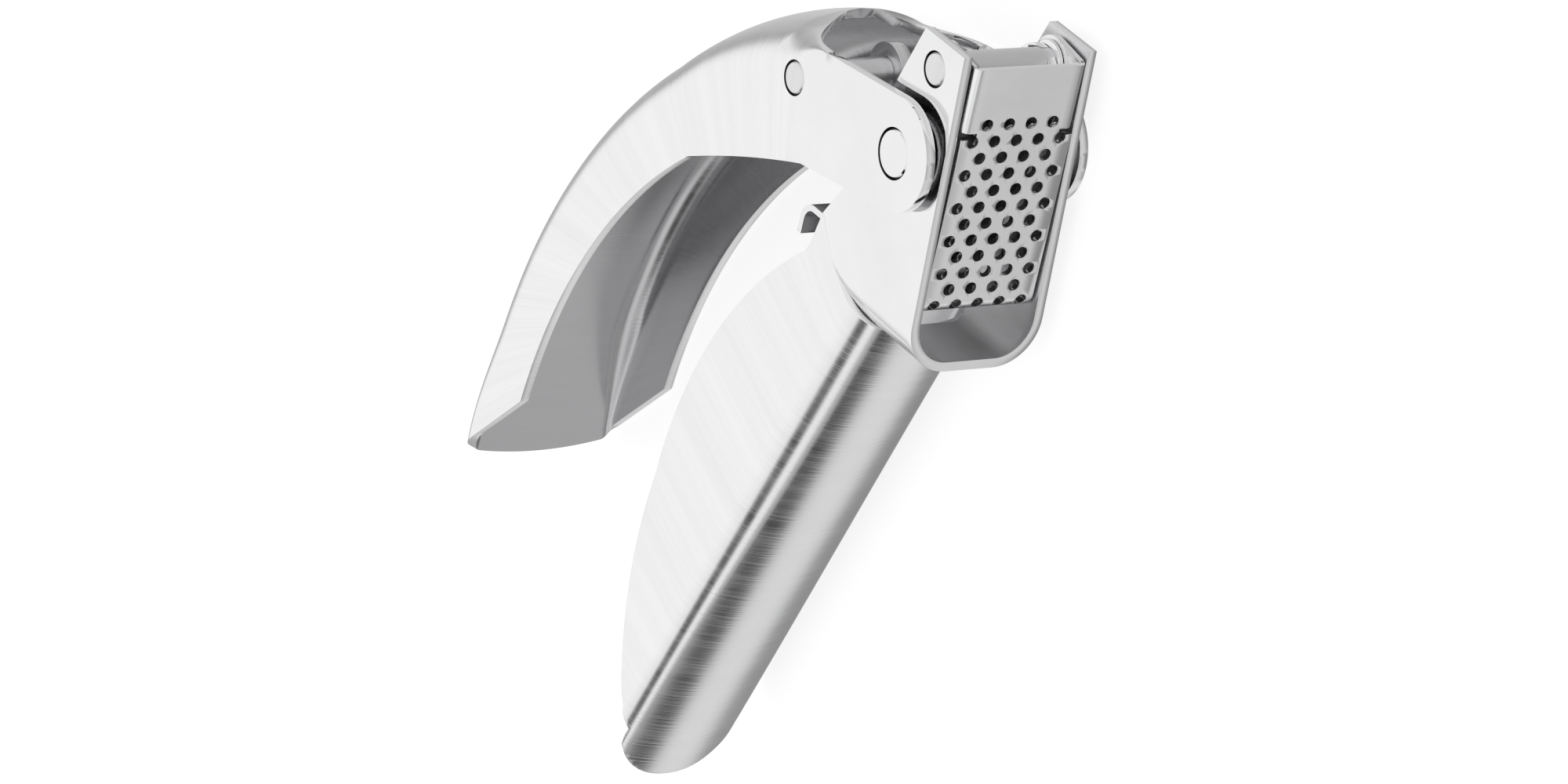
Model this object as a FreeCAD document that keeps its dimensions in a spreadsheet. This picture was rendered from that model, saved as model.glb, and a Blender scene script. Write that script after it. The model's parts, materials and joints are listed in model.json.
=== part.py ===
import FreeCAD
import Part
import math
import os
import Sketcher

# Garlic press of pressed steel sheet, lying on its right side.
# X runs out through the sieve, Y runs up along the sieve, Z runs across the press.
# Every hinge axis runs along Z. Both sides are alike, apart from the one plunger link.

SIZES = {
    # Frame: the handle pivot's place, and the main widths and sheet thickness.
    "pivot_x": 51.33, "pivot_y": 67.0, "sheet": 1.8, "head_width": 28.0, "arm_gap": 1.35,
    # Upper handle's side outline, measured from the handle pivot.
    "grip_end_x": -115.4, "grip_end_y": -119.3, "grip_outer_bend": 129.7,
    "grip_waist_x": -74.4, "grip_waist_y": -17.8, "grip_inner_bend": 95.5,
    "grip_neck_x": -40.9, "grip_neck_y": 5.6, "arm_end_radius": 10.4,
    "rim_end_out": 17.4, "rim_end_up": 18.8, "rim_outer_bend": 111.3,
    "rim_waist_x": -60.5, "rim_waist_y": -29.9, "rim_inner_bend": 306.7,
    "rim_heel_x": -26.1, "rim_heel_y": -14.6, "rim_corner": 5.0,
    "grip_shoulder": 5.0, "web_end_x": -25.65, "grip_waist_slope": 45.3, "grip_neck_slope": 21.0,
    # Lower handle: its slope, and its side outline measured from its corner under the head,
    # along its back and into its depth.
    "hand_slope": -111.56, "hand_length": 128.6, "hand_seam_x": -3.2, "hand_seam_y": -15.9,
    "hand_top_x": -7.4, "hand_top_y": -23.4, "hand_rim_x": 1.3, "hand_rim_y": -22.2,
    "hand_outer_bend": 89.6, "hand_waist_x": 71.0, "hand_waist_y": -28.2,
    "hand_inner_bend": 85.0, "tongue_length": 12.1, "tongue_lip": 2.8,
    "hand_shoulder": 8.0, "tongue_flat": 2.0,
    # Head frame's side outline, measured from the handle pivot.
    "seam_front_x": -1.4, "seam_back_x": -15.0, "seam_back_y": -28.3,
    "head_rear_x": -20.4, "head_rear_y": -21.6, "ear_back_x": -3.0, "ear_front_x": 9.6,
    "ear_top": 22.7, "mouth_x": 12.9, "head_bottom": -37.1, "head_waist_x": -15.4,
    "head_waist_y": -13.7, "head_neck_x": -7.7, "head_neck_y": 10.7, "head_corner": 9.0,
    # Rods, rivets and washers.
    "rod_forward": 2.0, "rod_above": 17.0, "rod_radius": 3.0,
    "link_rod_x": -33.4, "link_rod_y": -1.2, "running_fit": 0.05, "side_play": 0.15,
    "rivet_head_radius": 4.4, "rivet_stem_radius": 3.0, "pivot_washer_radius": 7.0,
    "rod_washer": 0.7, "rod_washer_radius": 4.3,
    # Sieve basket, measured from the top rod, with its room inside the head.
    "sieve_front": 9.1, "sieve_sheet": 1.2, "sieve_play": 0.55, "sieve_top": 3.8,
    "sieve_bend": 1.5, "sieve_notch": -9.5, "notch_height": 1.2, "notch_depth": 2.9,
    "sieve_floor": -43.8, "sieve_corner": 3.0, "sieve_eye_radius": 5.0,
    "sieve_flange_back": 3.2, "floor_step": 12.0, "floor_inset": 5.0, "curl_x": -32.0,
    "curl_radius": 3.6, "curl_drop": 3.0, "hole_radius": 1.15, "hole_edge": 2.39,
    "hole_row": 3.19, "hole_top": -6.8,
    # Plunger, with its room inside the sieve, drawn with its face against it.
    "plunger_gap": 0.5, "plunger_plate": 3.0, "plunger_top": -4.6, "plunger_lift": 1.0,
    "plunger_play": 1.55, "plunger_turn": -16.4, "plunger_arm": 1.6, "plunger_arm_inset": 0.6,
    "plunger_eye_inset": 3.5, "plunger_arm_depth": 5.0, "plunger_arm_end": -30.0,
    # Link and its bracket, measured from the top rod at rest.
    "link_thick": 2.7, "link_inset": 11.7, "link_eye_radius": 5.7, "link_foot_radius": 4.4,
    "link_waist": 6.5, "link_pin_x": -19.9, "link_pin_y": -32.3, "link_pin_radius": 1.9,
    "link_slack": 0.5, "link_foot_drop": 0.37, "bracket_sheet": 1.6, "bracket_gap": 0.3,
    "bracket_eye_radius": 3.9, "bracket_top": -20.0, "bracket_lean": 50.0, "pin_head": 0.8,
    "pin_head_radius": 3.0,
}
HOLE_ROWS = 12
HOLES_IN_LONG_ROW = 5

doc = FreeCAD.newDocument("garlic_press")
sheet = doc.addObject("Spreadsheet::Sheet", "Sizes")
for row, (alias, value) in enumerate(SIZES.items(), start=1):
    sheet.set(f"A{row}", alias)
    sheet.set(f"B{row}", str(value))
    sheet.setAlias(f"B{row}", alias)
doc.recompute()

probe = doc.addObject("App::FeaturePython", "Probe")
probe.addProperty("App::PropertyFloat", "Value")


def cell(text):
    """Turn words of a formula that name cells into references to the sheet."""
    words = text.split()
    unknown = [word for word in words if "_" in word and word not in SIZES]
    if unknown:
        raise NameError(f"{text} names unknown sizes: {unknown}")
    return " ".join("Sizes." + word if word in SIZES else word for word in words)


def value(text):
    """Number that a formula of the sheet's sizes gives."""
    probe.setExpression("Value", cell(text))
    probe.recompute()
    return probe.Value


def bind(item, prop, text):
    """Bind a property to a formula of the sheet's sizes."""
    item.setExpression(prop, cell(text))


# Half widths and depths across the press, from its middle plane outwards.
HEAD_OUT = "head_width / 2"
HEAD_IN = "( head_width / 2 - sheet )"
ARM_IN = "( head_width / 2 + arm_gap )"
ARM_OUT = "( head_width / 2 + arm_gap + sheet )"
MIDDLE = "head_width / 2 + arm_gap + sheet"
SIEVE_OUT = "( head_width / 2 - sheet - sieve_play )"
FLOOR_OUT = "( head_width / 2 - floor_inset )"
PLUNGER_OUT = "( head_width / 2 - sheet - sieve_play - plunger_play )"
PLUNGER_ARM_OUT = "( head_width / 2 - sheet - sieve_play - plunger_play - plunger_arm_inset )"
PLUNGER_EYE = "( sieve_front - plunger_eye_inset )"
LINK_IN = "( head_width / 2 - link_inset )"

# Axes in the press's own frame.
PIVOT = ("pivot_x", "pivot_y")
ROD = ("pivot_x + rod_forward", "pivot_y + rod_above")
LINK_ROD = ("pivot_x + link_rod_x", "pivot_y + link_rod_y")


def place(item, axis, turn=None, depth="0"):
    """Put an item modelled about a hinge axis and the middle plane into the press's frame."""
    bind(item, ".Placement.Base.x", axis[0])
    bind(item, ".Placement.Base.y", axis[1])
    bind(item, ".Placement.Base.z", f"{MIDDLE} + ( {depth} )")
    if turn:
        item.Placement.Rotation = FreeCAD.Rotation(FreeCAD.Vector(0, 0, 1), value(turn))
        bind(item, ".Placement.Rotation.Angle", turn)


def arc_centre(start, end, radius):
    """Centre of the anticlockwise arc from start to end."""
    middle = (start + end) / 2
    chord = end - start
    rise = math.sqrt(max(radius ** 2 - chord.Length ** 2 / 4, 0))
    across = FreeCAD.Vector(-chord.y, chord.x, 0).normalize()
    return middle + across * rise


def outline(body, corners, role="XY_Plane"):
    """Closed sketch through corners (x, y, bend): a bend is the radius of the arc that
    leaves that corner, positive when it turns left and negative when it turns right."""
    sketch = body.newObject("Sketcher::SketchObject", body.Name + "_outline")
    plane = next(item for item in body.Origin.OriginFeatures if item.Role == role)
    sketch.AttachmentSupport = [(plane, "")]
    sketch.MapMode = "FlatFace"
    points = [FreeCAD.Vector(value(x), value(y), 0) for x, y, bend in corners]
    ends = []
    for index, (x, y, bend) in enumerate(corners):
        start = points[index]
        end = points[(index + 1) % len(points)]
        if bend is None:
            edge = sketch.addGeometry(Part.LineSegment(start, end), False)
            ends.append((edge, 1, 2))
            continue
        left = not bend.startswith("-")
        first, last = (start, end) if left else (end, start)
        radius = value(bend.lstrip("- "))
        centre = arc_centre(first, last, radius)
        circle = Part.Circle(centre, FreeCAD.Vector(0, 0, 1), radius)
        angles = [math.atan2(point.y - centre.y, point.x - centre.x) for point in (first, last)]
        edge = sketch.addGeometry(Part.ArcOfCircle(circle, angles[0], angles[1]), False)
        ends.append((edge, 1, 2) if left else (edge, 2, 1))
        number = sketch.addConstraint(Sketcher.Constraint("Radius", edge, radius))
        bind(sketch, f"Constraints[{number}]", bend.lstrip("- "))
    for index, (edge, start, end) in enumerate(ends):
        following, other, _ = ends[(index + 1) % len(ends)]
        sketch.addConstraint(Sketcher.Constraint("Coincident", edge, end, following, other))
        for kind, text in zip(("DistanceX", "DistanceY"), corners[index][:2]):
            amount = value(text)
            number = sketch.addConstraint(Sketcher.Constraint(kind, -1, 1, edge, start, amount))
            bind(sketch, f"Constraints[{number}]", text)
    return sketch


def pad(name, corners, thickness):
    """Body that is an outline in the XY plane made thick about the middle plane."""
    body = doc.addObject("PartDesign::Body", name)
    sketch = outline(body, corners)
    extrusion = body.newObject("PartDesign::Pad", name + "_pad")
    extrusion.Profile = sketch
    extrusion.SideType = "Symmetric"
    bind(extrusion, "Length", thickness)
    doc.recompute()
    return body


def round_edges(body, radius, chosen):
    """Fillet the body's edges that pass the test."""
    base = body.Tip
    names = [f"Edge{n}" for n, edge in enumerate(base.Shape.Edges, start=1) if chosen(edge)]
    fillet = body.newObject("PartDesign::Fillet", base.Name + "_round")
    fillet.Base = (base, names)
    bind(fillet, "Radius", radius)
    doc.recompute()
    return body


def cylinder(name, radius, low, high, x="0", y="0"):
    """Round bar along Z between two depths, at a place in its own frame."""
    bar = doc.addObject("Part::Cylinder", name)
    bind(bar, "Radius", radius)
    bind(bar, "Height", f"( {high} ) - ( {low} )")
    bind(bar, ".Placement.Base.x", x)
    bind(bar, ".Placement.Base.y", y)
    bind(bar, ".Placement.Base.z", low)
    return bar


def box(name, x, y, z):
    """Block between pairs of limits along X, Y and Z."""
    block = doc.addObject("Part::Box", name)
    for prop, axis, (low, high) in zip(("Length", "Width", "Height"), "xyz", (x, y, z)):
        bind(block, prop, f"( {high} ) - ( {low} )")
        bind(block, f".Placement.Base.{axis}", low)
    return block


def fuse(name, items):
    """Items joined to one solid."""
    joined = doc.addObject("Part::MultiFuse", name)
    joined.Shapes = items
    joined.Refine = True
    doc.recompute()
    return joined


def cut(name, base, tools):
    """Base with the tools taken away."""
    tool = tools[0] if len(tools) == 1 else fuse(name + "_space", tools)
    result = doc.addObject("Part::Cut", name)
    result.Base = base
    result.Tool = tool
    result.Refine = True
    doc.recompute()
    return result


nodes = []


def keep(item, name, axis, turn=None, depth="0"):
    """Name a finished piece and put it in its place."""
    item.Label = name
    place(item, axis, turn, depth)
    nodes.append(item)


def across(edge):
    """Whether an edge runs along Z."""
    line = edge.Vertexes[-1].Point - edge.Vertexes[0].Point
    return abs(line.z) > 0.99 * edge.Length


def near(edge, x, y, reach=0.05):
    """Whether an edge along Z stands at a place of the outline."""
    point = edge.Vertexes[0].Point
    return across(edge) and math.hypot(point.x - value(x), point.y - value(y)) < reach


def touch(x, y, radius, side):
    """Formulas for the point where a line from (x, y) touches a circle about the origin:
    side 1 is the touching point to the left of the way from the circle to (x, y)."""
    reach = f"sqrt( ( {x} ) ^ 2 + ( {y} ) ^ 2 )"
    heading = f"( atan2( {y} ; {x} ) + {side} * acos( {radius} / {reach} ) )"
    return f"{radius} * cos{heading}", f"{radius} * sin{heading}"


def spin_in(x, y, turn):
    """Formulas for a point at rest, as seen in a frame turned about the same axis."""
    cosine, sine = f"cos( {turn} * 1 deg )", f"sin( {turn} * 1 deg )"
    return f"( {x} ) * {cosine} + ( {y} ) * {sine}", f"( {y} ) * {cosine} - ( {x} ) * {sine}"


# Upper handle: a channel open towards the lower handle, with two arms beside the head.
REACH = "arm_end_radius * 20"
RIM_END = ("grip_end_x + rim_end_out", "grip_end_y + rim_end_up")
TOP_TOUCH = touch("grip_neck_x", "grip_neck_y", "arm_end_radius", -1)
LOW_TOUCH = touch("rim_heel_x", "rim_heel_y", "arm_end_radius", 1)
grip_outside = pad("grip_outside", [
    ("grip_end_x", "grip_end_y", None),
    (*RIM_END, "- rim_outer_bend"),
    ("rim_waist_x", "rim_waist_y", "- rim_inner_bend"),
    ("rim_heel_x", "rim_heel_y", None),
    (*LOW_TOUCH, "arm_end_radius"),
    (*TOP_TOUCH, None),
    ("grip_neck_x", "grip_neck_y", "grip_inner_bend"),
    ("grip_waist_x", "grip_waist_y", "grip_outer_bend"),
], f"2 * {ARM_OUT}")


def on_back(edge, trim):
    """Whether an edge is one of the two arcs of the upper handle's back, less a trim."""
    if across(edge) or not isinstance(edge.Curve, Part.Circle):
        return False
    bends = [value(name) - trim for name in ("grip_outer_bend", "grip_inner_bend")]
    return any(abs(edge.Curve.Radius - bend) < 0.01 for bend in bends)


round_edges(grip_outside, "grip_shoulder", lambda edge: on_back(edge, 0))
round_edges(grip_outside, "rim_corner", lambda edge: near(edge, *RIM_END))
grip_inside = pad("grip_inside", [
    ("grip_end_x + sheet", f"grip_end_y - {REACH}", None),
    (REACH, f"grip_end_y - {REACH}", None),
    (REACH, "arm_end_radius - sheet", None),
    ("0", "arm_end_radius - sheet", None),
    ("grip_neck_x + sheet * sin( grip_neck_slope * 1 deg )",
     "grip_neck_y - sheet * cos( grip_neck_slope * 1 deg )", "( grip_inner_bend - sheet )"),
    ("grip_waist_x + sheet * sin( grip_waist_slope * 1 deg )",
     "grip_waist_y - sheet * cos( grip_waist_slope * 1 deg )", "( grip_outer_bend - sheet )"),
    ("grip_end_x + sheet", "grip_end_y", None),
], f"2 * {ARM_IN}")
round_edges(grip_inside, "grip_shoulder - sheet",
            lambda edge: on_back(edge, value("sheet")) and edge.Length > 20)
notch_end = doc.addObject("Part::Cylinder", "notch_end")
bind(notch_end, "Radius", ARM_IN)
bind(notch_end, "Height", REACH)
notch_end.Placement.Rotation = FreeCAD.Rotation(FreeCAD.Vector(1, 0, 0), 90)
bind(notch_end, ".Placement.Base.x", "web_end_x")
bind(notch_end, ".Placement.Base.y", f"{REACH} / 2")
notch = box("notch", ("web_end_x", REACH), (f"- {REACH} / 2", f"{REACH} / 2"),
            (f"- {ARM_IN}", ARM_IN))
pivot_hole = cylinder("pivot_hole", "rivet_head_radius + running_fit", f"- {REACH}", REACH)
link_rod_hole = cylinder("link_rod_hole", "rod_radius", f"- {REACH}", REACH,
                         "link_rod_x", "link_rod_y")
upper_handle = cut("upper_handle_shape", grip_outside,
                   [grip_inside, notch_end, notch, pivot_hole, link_rod_hole])
keep(upper_handle, "upper_handle", PIVOT)
keep(cylinder("link_rod_shape", "rod_radius", f"- {ARM_OUT}", ARM_OUT), "link_rod", LINK_ROD,
     depth=f"- {ARM_OUT}")


# Lower handle: a deep channel whose back ends in a rounded tongue.
def slab(name, x, y, thickness):
    """Plain rectangular body about the middle plane."""
    return pad(name, [(x[0], y[0], None), (x[1], y[0], None),
                      (x[1], y[1], None), (x[0], y[1], None)], thickness)


def along(edge, axis, **place_of):
    """Whether a straight edge runs along X or Y and keeps to the given places."""
    points = [vertex.Point for vertex in edge.Vertexes]
    direction = points[-1] - points[0]
    if abs(getattr(direction, axis)) < 0.99 * edge.Length:
        return False
    return all(abs(getattr(points[0], name) - value(text)) < 0.01
               for name, text in place_of.items())


def common(name, items):
    """What the items share."""
    shared = doc.addObject("Part::MultiCommon", name)
    shared.Shapes = items
    shared.Refine = True
    doc.recompute()
    return shared


HAND_REACH = "hand_length * 2"
hand_side = pad("hand_side", [
    ("0", "0", None),
    ("hand_seam_x", "hand_seam_y", None),
    ("hand_top_x", "hand_top_y", None),
    ("hand_rim_x", "hand_rim_y", "hand_outer_bend"),
    ("hand_waist_x", "hand_waist_y", "hand_inner_bend"),
    ("hand_length - tongue_length", "- tongue_lip", None),
    ("hand_length", "- tongue_lip", None),
    ("hand_length", "0", None),
], "head_width")
hand_back = slab("hand_back", (f"- {HAND_REACH}", HAND_REACH), (f"- {HAND_REACH}", "0"),
                 "head_width")
round_edges(hand_back, "hand_shoulder", lambda edge: along(edge, "x", y="0"))
hand_plan = slab("hand_plan", (f"- {HAND_REACH}", "hand_length"), (f"- {HAND_REACH}", "sheet"),
                 "head_width")
round_edges(hand_plan, "head_width / 2 - tongue_flat", lambda edge: along(edge, "y", x="hand_length"))
hand_inside = slab("hand_inside", (f"- {HAND_REACH}", HAND_REACH),
                   (f"- {HAND_REACH}", "- sheet"), f"2 * {HEAD_IN}")
round_edges(hand_inside, "hand_shoulder - sheet", lambda edge: along(edge, "x", y="- sheet"))
lower_handle = cut("lower_handle_shape", common("hand_outside", [hand_side, hand_back, hand_plan]),
                   [hand_inside])
SEAM = ("pivot_x + seam_front_x", "pivot_y + head_bottom")
keep(lower_handle, "lower_handle", SEAM, "hand_slope")

# Head frame: one strip bent round the sieve, with an ear on each side for the top rod.
head_side = pad("head_side", [
    ("seam_front_x", "head_bottom", None),
    ("mouth_x", "head_bottom", None),
    ("ear_front_x", "ear_top", None),
    ("ear_back_x", "ear_top", None),
    ("head_neck_x", "head_neck_y", None),
    ("head_waist_x", "head_waist_y", None),
    ("head_rear_x", "head_rear_y", None),
    ("seam_back_x", "seam_back_y", None),
], "head_width")
head_wrap = slab("head_wrap", (f"- {REACH}", REACH), ("head_bottom", REACH), "head_width")
round_edges(head_wrap, "head_corner", lambda edge: along(edge, "x", y="head_bottom"))
head_inside = slab("head_inside", (f"- {REACH}", REACH), ("head_bottom + sheet", REACH),
                   f"2 * {HEAD_IN}")
round_edges(head_inside, "head_corner - sheet",
            lambda edge: along(edge, "x", y="head_bottom + sheet"))
stem_hole = cylinder("stem_hole", "rivet_stem_radius", f"- {REACH}", REACH)
rod_hole = cylinder("rod_hole", "rod_radius", f"- {REACH}", REACH, "rod_forward", "rod_above")
head_frame = cut("head_frame_shape", common("head_outside", [head_side, head_wrap]),
                 [head_inside, stem_hole, rod_hole])
keep(head_frame, "head_frame", PIVOT)
keep(cylinder("top_rod_shape", "rod_radius", f"- {HEAD_OUT}", HEAD_OUT), "top_rod", ROD,
     depth=f"- {HEAD_OUT}")


def mirrored(low, high, side):
    """Depth limits on one side of the middle plane: side 1 is left and -1 is right."""
    return (low, high) if side == 1 else (f"- ( {high} )", f"- ( {low} )")


def ring(name, outside, inside, limits):
    """Flat ring about the axis between two depths."""
    return cut(name + "_shape", cylinder(name + "_rim", outside, *limits),
               [cylinder(name + "_bore", inside, f"- {REACH}", REACH)])


SIDES = {"left": 1, "right": -1}
for word, side in SIDES.items():
    head = cylinder(f"{word}_rivet_head", "rivet_head_radius", *mirrored(ARM_IN, ARM_OUT, side))
    stem = cylinder(f"{word}_rivet_stem", "rivet_stem_radius", *mirrored(HEAD_IN, ARM_IN, side))
    keep(fuse(f"{word}_pivot_rivet_shape", [head, stem]), f"{word}_pivot_rivet", PIVOT)
    limits = mirrored(HEAD_OUT, f"{ARM_IN} - side_play", side)
    washer = ring(f"{word}_pivot_washer", "pivot_washer_radius", "rivet_stem_radius", limits)
    keep(washer, f"{word}_pivot_washer", PIVOT)
    limits = mirrored(f"{PLUNGER_ARM_OUT} + side_play",
                      f"{PLUNGER_ARM_OUT} + side_play + rod_washer", side)
    washer = ring(f"{word}_rod_washer", "rod_washer_radius", "rod_radius", limits)
    keep(washer, f"{word}_rod_washer", ROD)

# Sieve basket: a perforated plate with two flanges that hang on the top rod, and a floor
# that runs back under the chamber to a curled tab.
FLOOR_TOP = "sieve_floor + sieve_sheet"
CURL_BACK = "curl_x - curl_radius"
strip = pad("sieve_strip", [
    ("sieve_front", "sieve_floor + sieve_corner", None),
    ("sieve_front", "sieve_top", None),
    ("sieve_front - sieve_sheet", "sieve_top", None),
    ("sieve_front - sieve_sheet", "sieve_floor + sieve_corner",
     "- ( sieve_corner - sieve_sheet )"),
    ("sieve_front - sieve_corner", FLOOR_TOP, None),
    ("curl_x", FLOOR_TOP, "curl_radius"),
    (CURL_BACK, f"{FLOOR_TOP} - curl_radius", None),
    (CURL_BACK, f"{FLOOR_TOP} - curl_radius - curl_drop", None),
    (f"{CURL_BACK} + sieve_sheet", f"{FLOOR_TOP} - curl_radius - curl_drop", None),
    (f"{CURL_BACK} + sieve_sheet", f"{FLOOR_TOP} - curl_radius",
     "- ( curl_radius - sieve_sheet )"),
    ("curl_x", "sieve_floor", None),
    ("sieve_front - sieve_corner", "sieve_floor", "sieve_corner"),
], f"2 * {SIEVE_OUT}")
LIP_IN = f"( {SIEVE_OUT} - sieve_sheet )"
FLANGE_LOW = "sieve_notch + notch_height"
FLANGE_BACK = "sieve_front - sieve_flange_back"
flange_outside = pad("flange_outside", [
    (FLANGE_BACK, FLANGE_LOW, None),
    ("sieve_front", FLANGE_LOW, None),
    ("sieve_front", "sieve_top", None),
    (*touch("sieve_front", "sieve_top", "sieve_eye_radius", 1), "sieve_eye_radius"),
    (*touch(FLANGE_BACK, FLANGE_LOW, "sieve_eye_radius", -1), None),
], f"2 * {SIEVE_OUT}")
round_edges(flange_outside, "sieve_bend", lambda edge: along(edge, "y", x="sieve_front"))
flange_space = box("flange_space", (f"- {REACH}", "sieve_front - sieve_sheet"),
                   (f"- {REACH}", REACH), (f"- {LIP_IN}", LIP_IN))
flanges = cut("flanges", flange_outside, [flange_space])
side_cuts = []
for word, side in SIDES.items():
    limits = mirrored(f"{SIEVE_OUT} - notch_depth", f"{SIEVE_OUT} + sheet", side)
    side_cuts.append(box(f"{word}_relief", (CURL_BACK, "sieve_front + sheet"),
                         ("sieve_notch", "sieve_top + sheet"), limits))
    limits = mirrored(FLOOR_OUT, f"{SIEVE_OUT} + sheet", side)
    side_cuts.append(box(f"{word}_floor_side", (f"{CURL_BACK} - sheet", "sieve_front - floor_step"),
                         (f"sieve_floor - {REACH}", "sieve_notch - sheet"), limits))
sieve_blank = fuse("sieve_blank", [cut("trimmed_strip", strip, side_cuts), flanges])
holes = []
for row in range(HOLE_ROWS):
    count = HOLES_IN_LONG_ROW - (row + 1) % 2
    for column in range(count):
        hole = doc.addObject("Part::Cylinder", f"hole_{row}_{column}")
        hole.Placement.Rotation = FreeCAD.Rotation(FreeCAD.Vector(0, 1, 0), 90)
        bind(hole, "Radius", "hole_radius")
        bind(hole, "Height", "sieve_corner + 2 * sheet")
        bind(hole, ".Placement.Base.x", "sieve_front - sieve_corner - sheet / 2")
        bind(hole, ".Placement.Base.y", f"hole_top - {row} * hole_row")
        bind(hole, ".Placement.Base.z", f"( {SIEVE_OUT} - hole_edge ) / 2 * {column - (count - 1) / 2}")
        holes.append(hole)
sieve_eye = cylinder("sieve_eye", "rod_radius + running_fit", f"- {REACH}", REACH)
sieve_basket = cut("sieve_basket_shape", sieve_blank, [fuse("perforation", holes), sieve_eye])
keep(sieve_basket, "sieve_basket", ROD)

# Plunger: a plate on two arms that hang on the top rod, drawn with its face on the sieve
# and then swung back to where it rests.
PLATE_FACE = "( sieve_front - sieve_sheet - plunger_gap )"
PLATE_BACK = "( sieve_front - sieve_sheet - plunger_gap - plunger_plate )"
plate = slab("plunger_plate_shape", (PLATE_BACK, PLATE_FACE),
             ("sieve_floor + sieve_sheet + plunger_lift", "plunger_top"), f"2 * {PLUNGER_OUT}")
keep(plate, "plunger_plate", ROD, "plunger_turn")
plunger_eye = cylinder("plunger_eye", "rod_radius + running_fit", f"- {REACH}", REACH)
for word, side in SIDES.items():
    arm = pad(f"{word}_arm_blank", [
        (PLATE_BACK, "plunger_arm_end", None),
        (PLATE_BACK, "plunger_top", None),
        (*touch(PLATE_BACK, "plunger_top", PLUNGER_EYE, 1), PLUNGER_EYE),
        (*touch(f"{PLATE_BACK} - plunger_arm_depth", "plunger_arm_end", PLUNGER_EYE,
                -1), None),
        (f"{PLATE_BACK} - plunger_arm_depth", "plunger_arm_end", None),
    ], "plunger_arm")
    bind(arm, ".Placement.Base.z", f"{side} * ( {PLUNGER_ARM_OUT} - plunger_arm / 2 )")
    keep(cut(f"{word}_arm_shape", arm, [plunger_eye]), f"{word}_plunger_arm", ROD,
         "plunger_turn")

# Bracket on the plunger's back: two cheeks that hold the link's foot on a headed pin.
PIN = spin_in("link_pin_x", "link_pin_y", "plunger_turn")
LINK_MIDDLE = f"( {LINK_IN} + link_thick / 2 )"
CHEEK_IN = "( link_thick / 2 + bracket_gap )"
CHEEK_OUT = "( link_thick / 2 + bracket_gap + bracket_sheet )"
BRACKET_LOW = f"( {PIN[1]} - bracket_eye_radius / 2 )"
base = box("bracket_base", (f"{PLATE_BACK} - bracket_sheet", PLATE_BACK),
           (BRACKET_LOW, "bracket_top"),
           (f"- {LINK_MIDDLE} - {CHEEK_OUT}", f"{CHEEK_OUT} - {LINK_MIDDLE}"))
cheeks = []
for number, side in enumerate(SIDES.values(), start=1):
    corners = [
        (PLATE_BACK, BRACKET_LOW, None),
        (PLATE_BACK, "bracket_top", None),
        (f"{PLATE_BACK} - bracket_sheet", "bracket_top", None),
        (f"{PIN[0]} - bracket_eye_radius * sin( bracket_lean * 1 deg )",
         f"{PIN[1]} + bracket_eye_radius * cos( bracket_lean * 1 deg )", "bracket_eye_radius"),
        (PIN[0], f"{PIN[1]} - bracket_eye_radius", None),
    ]
    cheek = pad(f"bracket_cheek_{number}", corners, "bracket_sheet")
    bind(cheek, ".Placement.Base.z",
         f"{side} * ( {CHEEK_IN} + bracket_sheet / 2 ) - {LINK_MIDDLE}")
    cheeks.append(cheek)
pin_hole = cylinder("pin_hole", "link_pin_radius", f"- {REACH}", REACH, *PIN)
bracket = cut("bracket_shape", fuse("bracket_blank", [base, *cheeks]), [pin_hole])
keep(bracket, "plunger_bracket", ROD, "plunger_turn")
shank = cylinder("pin_shank", "link_pin_radius", f"- {LINK_MIDDLE} - {CHEEK_OUT}",
                 f"{CHEEK_OUT} - {LINK_MIDDLE}", *PIN)
pin_heads = [
    cylinder("pin_head_near", "pin_head_radius", f"{CHEEK_OUT} - {LINK_MIDDLE}",
             f"{CHEEK_OUT} - {LINK_MIDDLE} + pin_head", *PIN),
    cylinder("pin_head_far", "pin_head_radius", f"- {LINK_MIDDLE} - {CHEEK_OUT} - pin_head",
             f"- {LINK_MIDDLE} - {CHEEK_OUT}", *PIN),
]
keep(fuse("plunger_pin_shape", [shank, *pin_heads]), "plunger_pin", ROD, "plunger_turn")

# Link: its eye turns on the upper handle's rod, and its foot has room round the pin.
FOOT = ("( rod_forward + link_pin_x - link_rod_x )",
        "( rod_above + link_pin_y - link_rod_y - link_foot_drop )")
LINK_DEPTH = (f"- {LINK_IN} - link_thick", f"- {LINK_IN}")
link_eye = cylinder("link_eye", "link_eye_radius", *LINK_DEPTH)
link_foot = cylinder("link_foot", "link_foot_radius", *LINK_DEPTH, *FOOT)
link_bar = doc.addObject("Part::Box", "link_bar")
LEAN = f"atan2( {FOOT[1]} ; {FOOT[0]} )"
bind(link_bar, "Length", f"sqrt( {FOOT[0]} ^ 2 + {FOOT[1]} ^ 2 )")
bind(link_bar, "Width", "link_waist")
bind(link_bar, "Height", "link_thick")
bind(link_bar, ".Placement.Base.x", f"link_waist / 2 * sin( {LEAN} )")
bind(link_bar, ".Placement.Base.y", f"- link_waist / 2 * cos( {LEAN} )")
bind(link_bar, ".Placement.Base.z", LINK_DEPTH[0])
link_bar.Placement.Rotation = FreeCAD.Rotation(FreeCAD.Vector(0, 0, 1), -42)
bind(link_bar, ".Placement.Rotation.Angle", LEAN)
link_holes = [
    cylinder("link_eye_hole", "rod_radius + running_fit", f"- {REACH}", REACH),
    cylinder("link_foot_hole", "link_pin_radius + link_slack", f"- {REACH}", REACH, *FOOT),
]
plunger_link = cut("plunger_link_shape", fuse("link_blank", [link_eye, link_foot, link_bar]),
                   link_holes)
keep(plunger_link, "plunger_link", LINK_ROD)

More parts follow.
